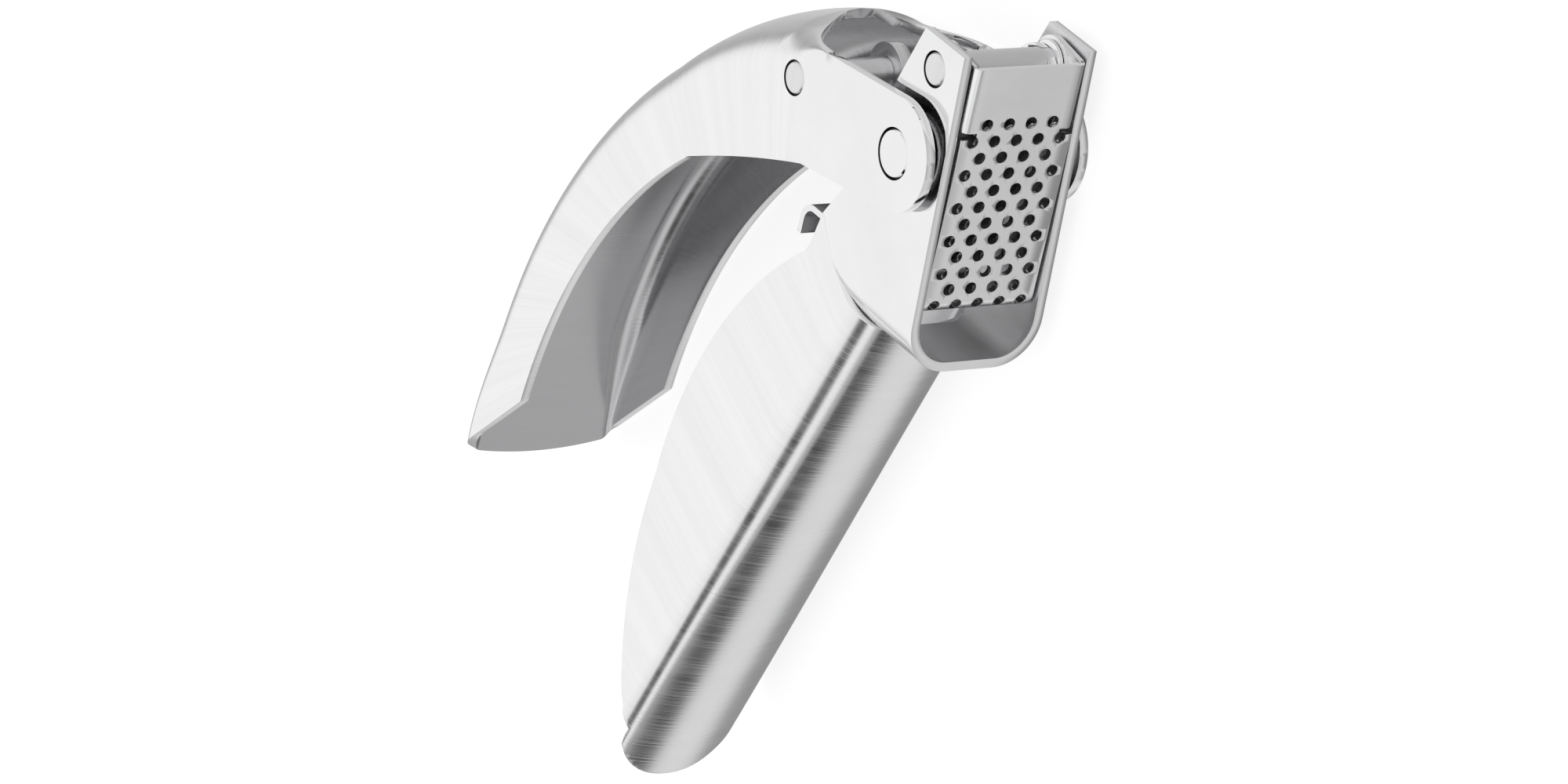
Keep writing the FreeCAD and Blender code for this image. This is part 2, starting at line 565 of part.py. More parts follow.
# Check every object, then write each piece to its own file.
doc.recompute()
doc.removeObject(probe.Name)
for item in doc.Objects:
    if "Invalid" in item.State or "Error" in item.State:
        raise RuntimeError(f"{item.Label} failed: {item.State}")
os.makedirs("parts", exist_ok=True)
for item in nodes:
    shape = item.Shape
    if shape.isNull() or not shape.isValid() or len(shape.Solids) != 1:
        raise RuntimeError(f"{item.Label} is not one valid solid")
    shape.exportStep(f"parts/{item.Label}.step")
    print(f"{item.Label}: {shape.Volume:.1f} cubic millimetres")
whole = Part.makeCompound([item.Shape for item in nodes]).BoundBox
print(f"whole press: {whole}")
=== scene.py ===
"""Looks of a steel garlic press: pressed sheet, turned rods and a perforated sieve.

Sizes in the classes are in millimetres, measured from the hinge axis that each piece is
built about. Meshes are in metres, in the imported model's own frame.
"""

import json
import logging
import math
from dataclasses import dataclass, field
from enum import Enum

import bmesh
import bpy
from mathutils import Matrix, Vector


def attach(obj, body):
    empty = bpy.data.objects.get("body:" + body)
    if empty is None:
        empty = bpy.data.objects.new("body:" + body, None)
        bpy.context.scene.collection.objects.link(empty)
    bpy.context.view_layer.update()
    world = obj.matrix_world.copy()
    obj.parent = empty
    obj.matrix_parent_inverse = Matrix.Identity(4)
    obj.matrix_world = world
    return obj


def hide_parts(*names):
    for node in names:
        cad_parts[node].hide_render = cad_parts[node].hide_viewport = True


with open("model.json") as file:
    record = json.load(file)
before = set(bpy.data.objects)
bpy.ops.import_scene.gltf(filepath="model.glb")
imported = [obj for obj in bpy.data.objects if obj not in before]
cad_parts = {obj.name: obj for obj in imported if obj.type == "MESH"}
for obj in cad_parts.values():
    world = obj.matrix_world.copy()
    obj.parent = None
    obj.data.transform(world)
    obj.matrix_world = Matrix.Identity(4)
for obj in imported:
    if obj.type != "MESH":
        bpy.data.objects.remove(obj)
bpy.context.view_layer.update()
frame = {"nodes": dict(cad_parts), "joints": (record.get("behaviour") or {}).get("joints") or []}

MM = 0.001
LOG = logging.getLogger("garlic_press")

Point = tuple[float, float]


class Axis(Enum):
    """Hinge axes that the pieces are built about, named by their joints."""

    PIVOT = "handle_squeeze"
    ROD = "plunger_swing"
    LINK = "link_turn"

    def place(self) -> Vector:
        """Middle of this axis, in metres."""
        joint = next(item for item in frame["joints"] if item["name"] == self.value)
        return Vector(joint["pos_m"])


# ----------------------------------------------------------------------------------------
# Finishes
# ----------------------------------------------------------------------------------------


class Nodes:
    """Small helper that adds and links shader nodes of one material."""

    def __init__(self, name: str) -> None:
        """Make a material with one plain surface.

        Args:
            name: Name of the material.
        """
        self.material = bpy.data.materials.new(name)
        self.material.use_nodes = True
        self.tree = self.material.node_tree
        self.surface = self.tree.nodes["Principled BSDF"]

    def add(self, kind: str, **values: object) -> bpy.types.Node:
        """Add a node and set its properties.

        Args:
            kind: Type of the node.
            **values: Properties of the node.

        Returns:
            The new node.
        """
        node = self.tree.nodes.new(kind)
        for name, value in values.items():
            setattr(node, name, value)
        return node

    def link(self, start: bpy.types.NodeSocket, end: bpy.types.NodeSocket) -> None:
        """Link an output to an input."""
        self.tree.links.new(start, end)

    def ramp(self, source: bpy.types.NodeSocket, low: float, high: float) -> bpy.types.NodeSocket:
        """Spread a value of 0 to 1 between two numbers.

        Args:
            source: Socket with the value.
            low: Result at 0.
            high: Result at 1.

        Returns:
            Socket with the result.
        """
        node = self.add("ShaderNodeMapRange")
        node.inputs["To Min"].default_value = low
        node.inputs["To Max"].default_value = high
        self.link(source, node.inputs["Value"])
        return node.outputs["Result"]

    def noise(self, vector: bpy.types.NodeSocket, scale: float, detail: float = 3.0,
              rough: float = 0.5) -> bpy.types.NodeSocket:
        """Cloudy pattern on a vector.

        Args:
            vector: Socket with the place.
            scale: Spots per unit of the vector.
            detail: Number of finer layers.
            rough: Strength of the finer layers.

        Returns:
            Socket with a value of 0 to 1.
        """
        node = self.add("ShaderNodeTexNoise")
        node.inputs["Scale"].default_value = scale
        node.inputs["Detail"].default_value = detail
        node.inputs["Roughness"].default_value = rough
        self.link(vector, node.inputs["Vector"])
        return node.outputs["Fac"]

    def stretched(self, vector: bpy.types.NodeSocket, scale: tuple[float, float, float],
                  turn: float = 0.0) -> bpy.types.NodeSocket:
        """Turn a vector about Z, then scale it along each axis.

        Args:
            vector: Socket with the place.
            scale: Scale along each axis.
            turn: Angle about Z, in degrees.

        Returns:
            Socket with the turned and scaled place.
        """
        node = self.add("ShaderNodeMapping")
        node.inputs["Rotation"].default_value = (0.0, 0.0, math.radians(turn))
        node.inputs["Scale"].default_value = scale
        self.link(vector, node.inputs["Vector"])
        return node.outputs["Vector"]

    def bump(self, height: bpy.types.NodeSocket, strength: float,
             distance: float) -> bpy.types.NodeSocket:
        """Normal that a height pattern gives.

        Args:
            height: Socket with the pattern.
            strength: Share of the effect.
            distance: Height of the pattern, in metres.

        Returns:
            Socket with the normal.
        """
        node = self.add("ShaderNodeBump")
        node.inputs["Strength"].default_value = strength
        node.inputs["Distance"].default_value = distance
        self.link(height, node.inputs["Height"])
        return node.outputs["Normal"]


CLOUD_SCALE = 55.0
CLOUD_DARKENING = 0.86
STROKE_SHARE = 0.6
STROKE_BUMP = 0.5
SMEAR_SCALE = (60.0, 190.0, 90.0)
SMEAR_TURN = 35.0
RIPPLE_SCALE = 38.0
RIPPLE_BUMP = 0.12
RIPPLE_HEIGHT = 0.0004


@dataclass(frozen=True)
class Metal:
    """Finish of bare steel.

    Attributes:
        name: Name of the material.
        colour: Reflected colour.
        smooth: Lowest roughness.
        dull: Highest roughness.
        lines: Depth of the brushed or turned lines, in metres; 0 for none.
        fineness: Lines per metre across the brushing.
        follows_sheet: Whether the lines run across the sheet's own unrolled surface.
        stretch: How far highlights are drawn out across the lines.
    """

    name: str
    colour: tuple[float, float, float]
    smooth: float
    dull: float
    lines: float = 0.0
    fineness: float = 5000.0
    follows_sheet: bool = False
    stretch: float = 0.0

    def material(self) -> bpy.types.Material:
        """Build the material, or find it if it was built before.

        Returns:
            Material of this finish.
        """
        known = bpy.data.materials.get(self.name)
        if known is not None:
            return known
        nodes = Nodes(self.name)
        surface = nodes.surface
        surface.inputs["Metallic"].default_value = 1.0
        surface.inputs["Anisotropic"].default_value = self.stretch
        place = nodes.add("ShaderNodeTexCoord")
        flat = place.outputs["UV"] if self.follows_sheet else place.outputs["Object"]
        clouds = nodes.noise(place.outputs["Object"], CLOUD_SCALE, 4.0, 0.6)
        tone = nodes.add("ShaderNodeMix", data_type="RGBA")
        darker = tuple(channel * CLOUD_DARKENING for channel in self.colour)
        tone.inputs[6].default_value = (*darker, 1.0)
        tone.inputs[7].default_value = (*self.colour, 1.0)
        grain = clouds
        nodes.link(tone.outputs[2], surface.inputs["Base Color"])
        if self.lines > 0.0:
            fine = (self.fineness, self.fineness / 90.0, self.fineness / 90.0)
            strokes = nodes.noise(nodes.stretched(flat, fine), 1.0, 2.0, 0.7)
            coarse = (self.fineness / 9.0, self.fineness / 300.0, self.fineness / 300.0)
            bands = nodes.noise(nodes.stretched(flat, coarse), 1.0, 2.0, 0.5)
            mixed = nodes.add("ShaderNodeMath", operation="MULTIPLY_ADD")
            nodes.link(strokes, mixed.inputs[0])
            mixed.inputs[1].default_value = STROKE_SHARE
            nodes.link(bands, mixed.inputs[2])
            nodes.link(nodes.ramp(mixed.outputs[0], self.smooth, self.dull),
                       surface.inputs["Roughness"])
            grain = mixed.outputs[0]
            nodes.link(nodes.bump(strokes, STROKE_BUMP, self.lines), surface.inputs["Normal"])
        else:
            smears = nodes.noise(nodes.stretched(place.outputs["Object"], SMEAR_SCALE,
                                                 SMEAR_TURN), 1.0, 5.0, 0.65)
            nodes.link(nodes.ramp(smears, self.smooth, self.dull), surface.inputs["Roughness"])
            ripple = nodes.noise(place.outputs["Object"], RIPPLE_SCALE, 1.0, 0.4)
            nodes.link(nodes.bump(ripple, RIPPLE_BUMP, RIPPLE_HEIGHT), surface.inputs["Normal"])
        nodes.link(grain, tone.inputs["Factor"])
        if self.follows_sheet:
            tangent = nodes.add("ShaderNodeTangent", direction_type="UV_MAP")
            nodes.link(tangent.outputs["Tangent"], surface.inputs["Tangent"])
        return nodes.material


BRUSHED = Metal("brushed_sheet", (0.93, 0.93, 0.935), 0.12, 0.24, 0.00008, 1700.0, True, 0.4)
# Inner faces of the handles: a darker colour than the outside that paints the shade inside the
# channels.
INSIDE_PAINTED_SHADE = Metal("inside_painted_shade", (0.58, 0.58, 0.59), 0.12, 0.24, 0.00003, 2200.0, True, 0.3)
POLISHED = Metal("polished_sheet", (0.95, 0.95, 0.955), 0.03, 0.12)
SATIN = Metal("sieve_sheet", (0.94, 0.94, 0.945), 0.12, 0.24)
TURNED = Metal("turned_bar", (0.80, 0.80, 0.81), 0.20, 0.36, 0.00001, 9000.0)
RIVETED = Metal("rivet_face", (0.95, 0.95, 0.955), 0.06, 0.16)
# Plunger plate: a near-black colour that paints the shade seen through the sieve's holes; the
# real plate is likely bare steel.
PAINTED_SHADE_PLATE = Metal("plunger_painted_shade", (0.12, 0.12, 0.125), 0.25, 0.40)
HOLLOW = Metal("hollow_sheet", (0.86, 0.86, 0.87), 0.30, 0.50)
GAP = Metal("gap_shadow", (0.07, 0.07, 0.072), 0.40, 0.60)


# ----------------------------------------------------------------------------------------
# Shapes that several pieces share
# ----------------------------------------------------------------------------------------


THROUGH = 60.0
SHARP_ANGLE = 50.0
TURNED_ANGLE = 32.0


def arc(start: Point, end: Point, bend: float, count: int) -> list[Point]:
    """Points along an arc.

    Args:
        start: First point.
        end: Last point.
        bend: Radius, positive for an arc that turns left and negative for one that turns
            right.
        count: Number of steps.

    Returns:
        Points from start to end, both included.
    """
    low, high = Vector(start), Vector(end)
    chord = high - low
    radius = abs(bend)
    rise = math.sqrt(max(radius ** 2 - chord.length_squared / 4, 0.0))
    across = Vector((-chord.y, chord.x)).normalized() * math.copysign(rise, bend)
    centre = (low + high) / 2 + across
    first = math.atan2(low.y - centre.y, low.x - centre.x)
    last = math.atan2(high.y - centre.y, high.x - centre.x)
    sweep = (last - first) % math.tau if bend > 0 else -((first - last) % math.tau)
    turns = [first + sweep * step / count for step in range(count + 1)]
    return [(centre.x + radius * math.cos(turn), centre.y + radius * math.sin(turn))
            for turn in turns]


def straight(start: Point, end: Point, count: int) -> list[Point]:
    """Evenly spaced points from start to end, both included."""
    low, high = Vector(start), Vector(end)
    return [tuple(low.lerp(high, step / count)) for step in range(count + 1)]


def chain(*runs: list[Point]) -> list[Point]:
    """Join runs end to end, with each shared point once.

    Args:
        *runs: Runs of points, each starting where the one before ends.

    Returns:
        All points in order.
    """
    points = list(runs[0])
    for run in runs[1:]:
        points += run[1:]
    return points


def touch(point: Point, radius: float, side: int) -> Point:
    """Where a line from a point touches a circle about the origin, on side 1 or -1."""
    heading = math.atan2(point[1], point[0]) + side * math.acos(radius / math.hypot(*point))
    return radius * math.cos(heading), radius * math.sin(heading)


def smooth_step(value: float, low: float, high: float) -> float:
    """Number that eases from 0 at low to 1 at high."""
    share = min(max((value - low) / (high - low), 0.0), 1.0)
    return share * share * (3.0 - 2.0 * share)


def new_object(name: str, mesh: bpy.types.Mesh) -> bpy.types.Object:
    """Make an object at the origin that shows a mesh.

    Args:
        name: Name of the object.
        mesh: Mesh to show.

    Returns:
        The new object.
    """
    item = bpy.data.objects.new(name, mesh)
    bpy.context.scene.collection.objects.link(item)
    return item


def settle(item: bpy.types.Object) -> bpy.types.Object:
    """Turn an object's modifiers into its own mesh.

    Args:
        item: Object with modifiers.

    Returns:
        The same object, with a plain mesh.
    """
    graph = bpy.context.evaluated_depsgraph_get()
    mesh = bpy.data.meshes.new_from_object(item.evaluated_get(graph))
    item.modifiers.clear()
    item.data = mesh
    mesh.name = item.name
    return item


def soften(item: bpy.types.Object, width: float, angle: float = 35.0,
           segments: int = 3) -> bpy.types.Object:
    """Round an object's sharp edges and shade it smoothly.

    Args:
        item: Object to finish.
        width: Width of the rounding, in millimetres.
        angle: Smallest turn that counts as a sharp edge, in degrees.
        segments: Steps across the rounding.

    Returns:
        The same object, with a plain mesh.
    """
    bevel = item.modifiers.new("edge", "BEVEL")
    bevel.width = width * MM
    bevel.segments = segments
    bevel.limit_method = "ANGLE"
    bevel.angle_limit = math.radians(angle)
    bevel.use_clamp_overlap = True
    bevel.harden_normals = False
    settle(item)
    for face in item.data.polygons:
        face.use_smooth = True
    item.data.set_sharp_from_angle(angle=math.radians(SHARP_ANGLE))
    return item


def dress(item: bpy.types.Object, finish: Metal) -> bpy.types.Object:
    """Give an object one finish all over.

    Args:
        item: Object to finish.
        finish: Finish to give it.

    Returns:
        The same object.
    """
    item.data.materials.clear()
    item.data.materials.append(finish.material())
    return item


def hand_over(item: bpy.types.Object, body: str, slot: str, *nodes: str) -> bpy.types.Object:
    """Fasten a finished piece to its body in place of its CAD nodes.

    Args:
        item: Finished piece.
        body: Body that it rides on.
        slot: Material slot that it belongs to; not used.
        *nodes: CAD nodes that it replaces.

    Returns:
        The same object.
    """
    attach(item, body)
    if nodes:
        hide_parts(*nodes)
    LOG.info("%s: %d faces on %s", item.name, len(item.data.polygons), body)
    return item


# A row of a sheet's outer face: places in millimetres, each with its reach across the sheet.
Row = list[tuple[Vector, float]]


def sheet_mesh(name: str, grids: list[list[Row]], thickness: float, origin: Vector,
               outside: "Metal", inside: "Metal") -> bpy.types.Object:
    """Sheet of metal that has grids of points as its outer face.

    Args:
        name: Name of the object.
        grids: Grids of rows, each row in millimetres from the origin. Rows follow the sheet,
            and points across a row turn left of that way, seen from outside.
        thickness: Sheet thickness, in millimetres.
        origin: Place that the rows are measured from, in metres.
        outside: Finish of the outer face and the edges.
        inside: Finish of the inner face.

    Returns:
        Object with a closed mesh, whose UV map is the unrolled sheet in metres.
    """
    shape = bmesh.new()
    layer = shape.loops.layers.uv.new("sheet")
    for rows in grids:
        along = [0.0]
        for one, two in zip(rows, rows[1:]):
            steps = [(end[0] - start[0]).length for start, end in zip(one, two)]
            along.append(along[-1] + sum(steps) / len(steps))
        points = [[shape.verts.new(origin + place * MM) for place, _ in row] for row in rows]
        for i in range(len(rows) - 1):
            for j in range(len(rows[0]) - 1):
                corners = ((i, j), (i, j + 1), (i + 1, j + 1), (i + 1, j))
                if len({rows[a][b][0].to_tuple(4) for a, b in corners}) < 3:
                    continue
                face = shape.faces.new([points[a][b] for a, b in corners])
                for loop, (a, b) in zip(face.loops, corners):
                    loop[layer].uv = (along[a] * MM, rows[a][b][1] * MM)
    loose = [vertex for vertex in shape.verts if not vertex.link_faces]
    bmesh.ops.delete(shape, geom=loose, context="VERTS")
    bmesh.ops.remove_doubles(shape, verts=shape.verts, dist=2e-6)
    mesh = bpy.data.meshes.new(name)
    shape.to_mesh(mesh)
    shape.free()
    item = new_object(name, mesh)
    mesh.materials.append(outside.material())
    mesh.materials.append(inside.material())
    solid = item.modifiers.new("sheet", "SOLIDIFY")
    solid.thickness = thickness * MM
    solid.offset = -1.0
    solid.material_offset = 1
    return settle(item)


def mirrored(half: Row) -> Row:
    """Whole row from its left half, which starts on the middle plane."""
    return [(Vector((point.x, point.y, -point.z)), -reach)
            for point, reach in half[:0:-1]] + half


def bore(item: bpy.types.Object, centre: Vector, radius: float, depth: float,
         sides: int = 64) -> bpy.types.Object:
    """Drill a round hole through an item along Z.

    Args:
        item: Object to drill.
        centre: Middle of the hole, in metres.
        radius: Radius of the hole, in millimetres.
        depth: Length of the drill, in millimetres, half to each side of the centre.
        sides: Faces round the hole.

    Returns:
        The same object, with a plain mesh.
    """
    shape = bmesh.new()
    bmesh.ops.create_cone(shape, cap_ends=True, segments=sides, radius1=radius * MM,
                          radius2=radius * MM, depth=depth * MM,
                          matrix=Matrix.Translation(centre))
    mesh = bpy.data.meshes.new("drill")
    shape.to_mesh(mesh)
    shape.free()
    mesh.materials.append(GAP.material())
    drill = new_object("drill", mesh)
    hole = item.modifiers.new("hole", "BOOLEAN")
    hole.operation = "DIFFERENCE"
    hole.solver = "EXACT"
    hole.material_mode = "TRANSFER"
    hole.object = drill
    settle(item)
    bpy.data.objects.remove(drill)
    return item


def turned(name: str, profile: list[Point], origin: Vector, sides: int = 64) -> bpy.types.Object:
    """Round piece turned about an axis along Z.

    Args:
        name: Name of the object.
        profile: Radius and depth of each corner, from one end's middle to the other's, in
            millimetres; depths grow along the profile.
        origin: Place that depths are measured from, in metres.
        sides: Faces round the piece.

    Returns:
        Object with a closed mesh.
    """
    shape = bmesh.new()
    rings = []
    for radius, depth in profile:
        count = sides if radius > 1e-6 else 1
        rings.append([shape.verts.new(origin + MM * Vector((
            radius * math.cos(math.tau * turn / sides),
            radius * math.sin(math.tau * turn / sides), depth))) for turn in range(count)])
    for low, high in zip(rings, rings[1:]):
        for turn in range(sides):
            after = (turn + 1) % sides
            around = [low[turn % len(low)], low[after % len(low)],
                      high[after % len(high)], high[turn % len(high)]]
            shape.faces.new(list(dict.fromkeys(around)))
    mesh = bpy.data.meshes.new(name)
    shape.to_mesh(mesh)
    shape.free()
    for face in mesh.polygons:
        face.use_smooth = True
    mesh.set_sharp_from_angle(angle=math.radians(TURNED_ANGLE))
    return new_object(name, mesh)


def copy_of(node: str, name: str, edge: float) -> bpy.types.Object:
    """Copy of a plain CAD piece with its edges softened.

    Args:
        node: CAD node to copy.
        name: Name of the copy.
        edge: Width of the rounding, in millimetres.

    Returns:
        Object with a closed mesh.
    """
    mesh = frame["nodes"][node].data.copy()
    mesh.name = name
    shape = bmesh.new()
    shape.from_mesh(mesh)
    bmesh.ops.remove_doubles(shape, verts=shape.verts, dist=1e-6)
    bmesh.ops.dissolve_limit(shape, angle_limit=math.radians(1.0), verts=shape.verts,
                             edges=shape.edges)
    shape.to_mesh(mesh)
    shape.free()
    return soften(new_object(name, mesh), edge, 40.0, 2)


# ----------------------------------------------------------------------------------------
# Upper handle
# ----------------------------------------------------------------------------------------


@dataclass
class UpperHandle:
    """Curved channel with two arms that hold the pivot rivets and the link rod.

    Attributes:
        half_width: Half of the outer width.
        thickness: Sheet thickness.
        shoulder: Rounding between the back and the side walls.
        crown_height: How far the middle of the back stands proud of its shoulders.
        end_bulge: How far the middle of the handle's end stands out past its corners.
        arm_radius: Radius of the arms' round ends.
        notch_radius: Radius of the notch that the head stands in.
        notch_end: Distance along X from the pivot to where the notch's round end begins.
        back: Side outline of the back, from the handle's end to the arms.
        back_bends: Bends of the back's arcs.
        rim: Side outline of the open side.
        rim_bends: Bends of the rim's arcs.
        rod_place: Place of the link rod.
        rivet_radius: Radius of the pivot rivets' heads.
        rod_radius: Radius of the link rod.
        gap: Width of the fine line round each rivet and rod end.
        polish_end: Distance along X from the pivot to where the arms' polish begins.
        end_fullness: Share of the shoulder that is left at the handle's end.
        arm_fullness: Share of the shoulder that is left along the arms.
        knee: Share of the rim's turn that lies before the notch.
        low_steps: Stations along the lower run of the back.
        top_steps: Stations along the upper run of the back.
        notch_first: First station of the notch's round end.
        notch_steps: Stations round the notch's end.
        arm_steps: Stations along the arms.
        nose_steps: Stations round the arms' ends.
    """

    half_width: float = 17.15
    thickness: float = 1.8
    shoulder: float = 7.0
    crown_height: float = 2.4
    end_bulge: float = 1.8
    arm_radius: float = 10.4
    notch_radius: float = 15.35
    notch_end: float = -25.65
    back: tuple[Point, ...] = ((-115.4, -119.3), (-74.4, -17.8), (-40.9, 5.6))
    back_bends: tuple[float, ...] = (-129.7, -95.5)
    rim: tuple[Point, ...] = ((-98.0, -100.5), (-60.5, -29.9), (-26.1, -14.6))
    rim_bends: tuple[float, ...] = (-111.3, -306.7)
    rod_place: Point = (-33.4, -1.2)
    rivet_radius: float = 4.4
    rod_radius: float = 3.0
    gap: float = 0.3
    polish_end: float = -31.0
    end_fullness: float = 0.45
    arm_fullness: float = 0.04
    knee: float = 0.8
    low_steps: int = 56
    top_steps: int = 22
    notch_first: int = 3
    notch_steps: int = 28
    arm_steps: int = 10
    nose_steps: int = 18

    def rails(self) -> list[tuple[Point, Point, float, float]]:
        """Matched stations along the handle.

        Returns:
            For each station its place on the back, its place on the rim, half the width of
            the notch there, and how much of the shoulder is left.
        """
        rim_turn = arc(self.rim[1], self.rim[2], self.rim_bends[1], 40)
        lower = arc(self.back[0], self.back[1], self.back_bends[0], self.low_steps)
        upper = arc(self.back[1], self.back[2], self.back_bends[1], self.top_steps)
        rim_low = arc(self.rim[0], self.rim[1], self.rim_bends[0], self.low_steps)
        grown = 1.0 - self.end_fullness
        stations = [(top, low, 0.0, self.end_fullness + grown * smooth_step(step, 0.0, 14.0))
                    for step, (top, low) in enumerate(zip(lower, rim_low))]
        for step in range(1, self.top_steps + 1):
            low = self.between(rim_turn, self.knee * step / self.top_steps)
            stations.append((upper[step], low, 0.0, 1.0))
        top_touch = touch(self.back[2], self.arm_radius, -1)
        low_touch = touch(self.rim[2], self.arm_radius, 1)
        start = Vector(self.back[2])
        slope = (top_touch[1] - start.y) / (top_touch[0] - start.x)
        reach = self.notch_end - start.x
        for step in range(self.notch_first, self.notch_steps + 1):
            angle = math.pi / 2 * step / self.notch_steps
            share = 1.0 - math.cos(angle)
            top = (start.x + reach * share, start.y + slope * reach * share)
            low = self.between(rim_turn, self.knee + (1.0 - self.knee) * share)
            stations.append((top, low, self.notch_radius * math.sin(angle),
                             1.0 - (1.0 - self.arm_fullness) * smooth_step(share, 0.0, 1.0)))
        last = stations[-1][0]
        for step in range(self.arm_steps + 1):
            share = step / self.arm_steps
            top = tuple(Vector(last).lerp(Vector(top_touch), 0.02 + 0.98 * share))
            low = tuple(Vector(self.rim[2]).lerp(Vector(low_touch), 0.02 + 0.98 * share))
            stations.append((top, low, self.half_width, self.arm_fullness))
        high = math.atan2(top_touch[1], top_touch[0])
        deep = math.atan2(low_touch[1], low_touch[0])
        nose = (high + deep) / 2
        for step in range(1, self.nose_steps + 1):
            share = step / self.nose_steps
            ends = [(self.arm_radius * math.cos(start_at + (nose - start_at) * share),
                     self.arm_radius * math.sin(start_at + (nose - start_at) * share))
                    for start_at in (high, deep)]
            stations.append((ends[0], ends[1], self.half_width, self.arm_fullness))
        return stations

    @staticmethod
    def between(points: list[Point], share: float) -> Point:
        """Find the place a share of the way along points.

        Args:
            points: Evenly spaced points.
            share: Share of the way, from 0 to 1.

        Returns:
            The place.
        """
        spot = share * (len(points) - 1)
        index = min(int(spot), len(points) - 2)
        return tuple(Vector(points[index]).lerp(Vector(points[index + 1]), spot - index))

    def section(self, fullness: float, notch: float,
                rise: float) -> list[tuple[float, float, float]]:
        """Half of the channel's outer section, from the middle plane outwards.

        Args:
            fullness: Share of the shoulder that is left.
            notch: Half the width of the notch.
            rise: Height of the crown.

        Returns:
            Distance from the middle plane, depth below the back and reach across the sheet.
        """
        radius = self.shoulder * fullness
        centre = self.half_width - radius
        crown = (centre ** 2 + rise ** 2) / (2.0 * rise) + radius
        lean = math.asin(centre / (crown - radius))
        low = crown - (crown - radius) * math.cos(lean)
        shift = low - radius
        spots = []
        for step in range(17):
            angle = lean * step / 16
            spots.append((crown * math.sin(angle), crown * (1.0 - math.cos(angle)),
                          crown * angle))
        for step in range(1, 11):
            angle = lean + (math.pi / 2 - lean) * step / 10
            spots.append((centre + radius * math.sin(angle), low - radius * math.cos(angle),
                          crown * lean + radius * (angle - lean)))
        result = []
        for width, depth, reach in spots:
            if width < notch:
                width = min(notch, self.half_width)
                if width < crown * math.sin(lean):
                    depth = crown - math.sqrt(crown ** 2 - width ** 2)
                elif width < self.half_width:
                    depth = low - math.sqrt(max(radius ** 2 - (width - centre) ** 2, 0.0))
                else:
                    depth = shift
            elif notch >= self.half_width:
                depth = shift
            result.append((width, depth - shift, reach))
        return result

    def rows(self, side: int) -> list[Row]:
        """Rows of one half of the outer face.

        Args:
            side: 1 for the left half and -1 for the right half.

        Returns:
            Rows from the handle's end to the arms' ends.
        """
        rows = []
        stations = self.rails()
        for index, (top, low, notch, fullness) in enumerate(stations):
            before = Vector(stations[max(index - 1, 0)][0])
            after = Vector(stations[min(index + 1, len(stations) - 1)][0])
            way = (after - before).normalized()
            fall = Vector(low) - Vector(top)
            length = fall.length
            heading = fall.normalized() if length > 1e-4 else Vector((0.0, -1.0))
            slant = max(abs(way.x * heading.y - way.y * heading.x), 0.35)
            row = []
            rise = 0.02 + self.crown_height * smooth_step(index, 3.0, 60.0) * (
                1.0 - smooth_step(notch, 0.0, self.notch_radius) * 0.95)
            section = self.section(fullness, notch, rise)
            bulge = self.end_bulge * (1.0 - smooth_step(index, 0.0, 9.0))
            for width, depth, reach in section:
                place = Vector(top) + heading * min(depth / slant, length)
                place -= way * bulge * (1.0 - (width / self.half_width) ** 2)
                row.append((Vector((place.x, place.y, side * width)), side * reach))
            start = min(section[-1][1] / slant, length)
            for step in range(1, 9):
                place = Vector(top) + heading * (start + (length - start) * step / 8)
                reach = section[-1][2] + (length - start) * step / 8
                row.append((Vector((place.x, place.y, side * self.half_width)), side * reach))
            rows.append(row if side == 1 else row[::-1])
        return rows

    def build(self) -> bpy.types.Object:
        """Make the handle and put it on its body.

        Returns:
            The finished handle.
        """
        pivot = Axis.PIVOT.place()
        # The inner face gets the darker painted-shade finish.
        item = sheet_mesh("curved_handle", [self.rows(1), self.rows(-1)], self.thickness,
                          pivot, BRUSHED, INSIDE_PAINTED_SHADE)
        rod = pivot + MM * Vector((*self.rod_place, 0.0))
        bore(item, pivot, self.rivet_radius + self.gap, THROUGH)
        bore(item, rod, self.rod_radius + self.gap, THROUGH, 48)
        item.data.materials.append(POLISHED.material())
        for face in item.data.polygons:
            if face.material_index == 0 and face.center.x > pivot.x + self.polish_end * MM:
                face.material_index = len(item.data.materials) - 1
        soften(item, 0.35)
        return hand_over(item, "handle", "brushed", "upper_handle")


# ----------------------------------------------------------------------------------------
# Lower handle and head
# ----------------------------------------------------------------------------------------


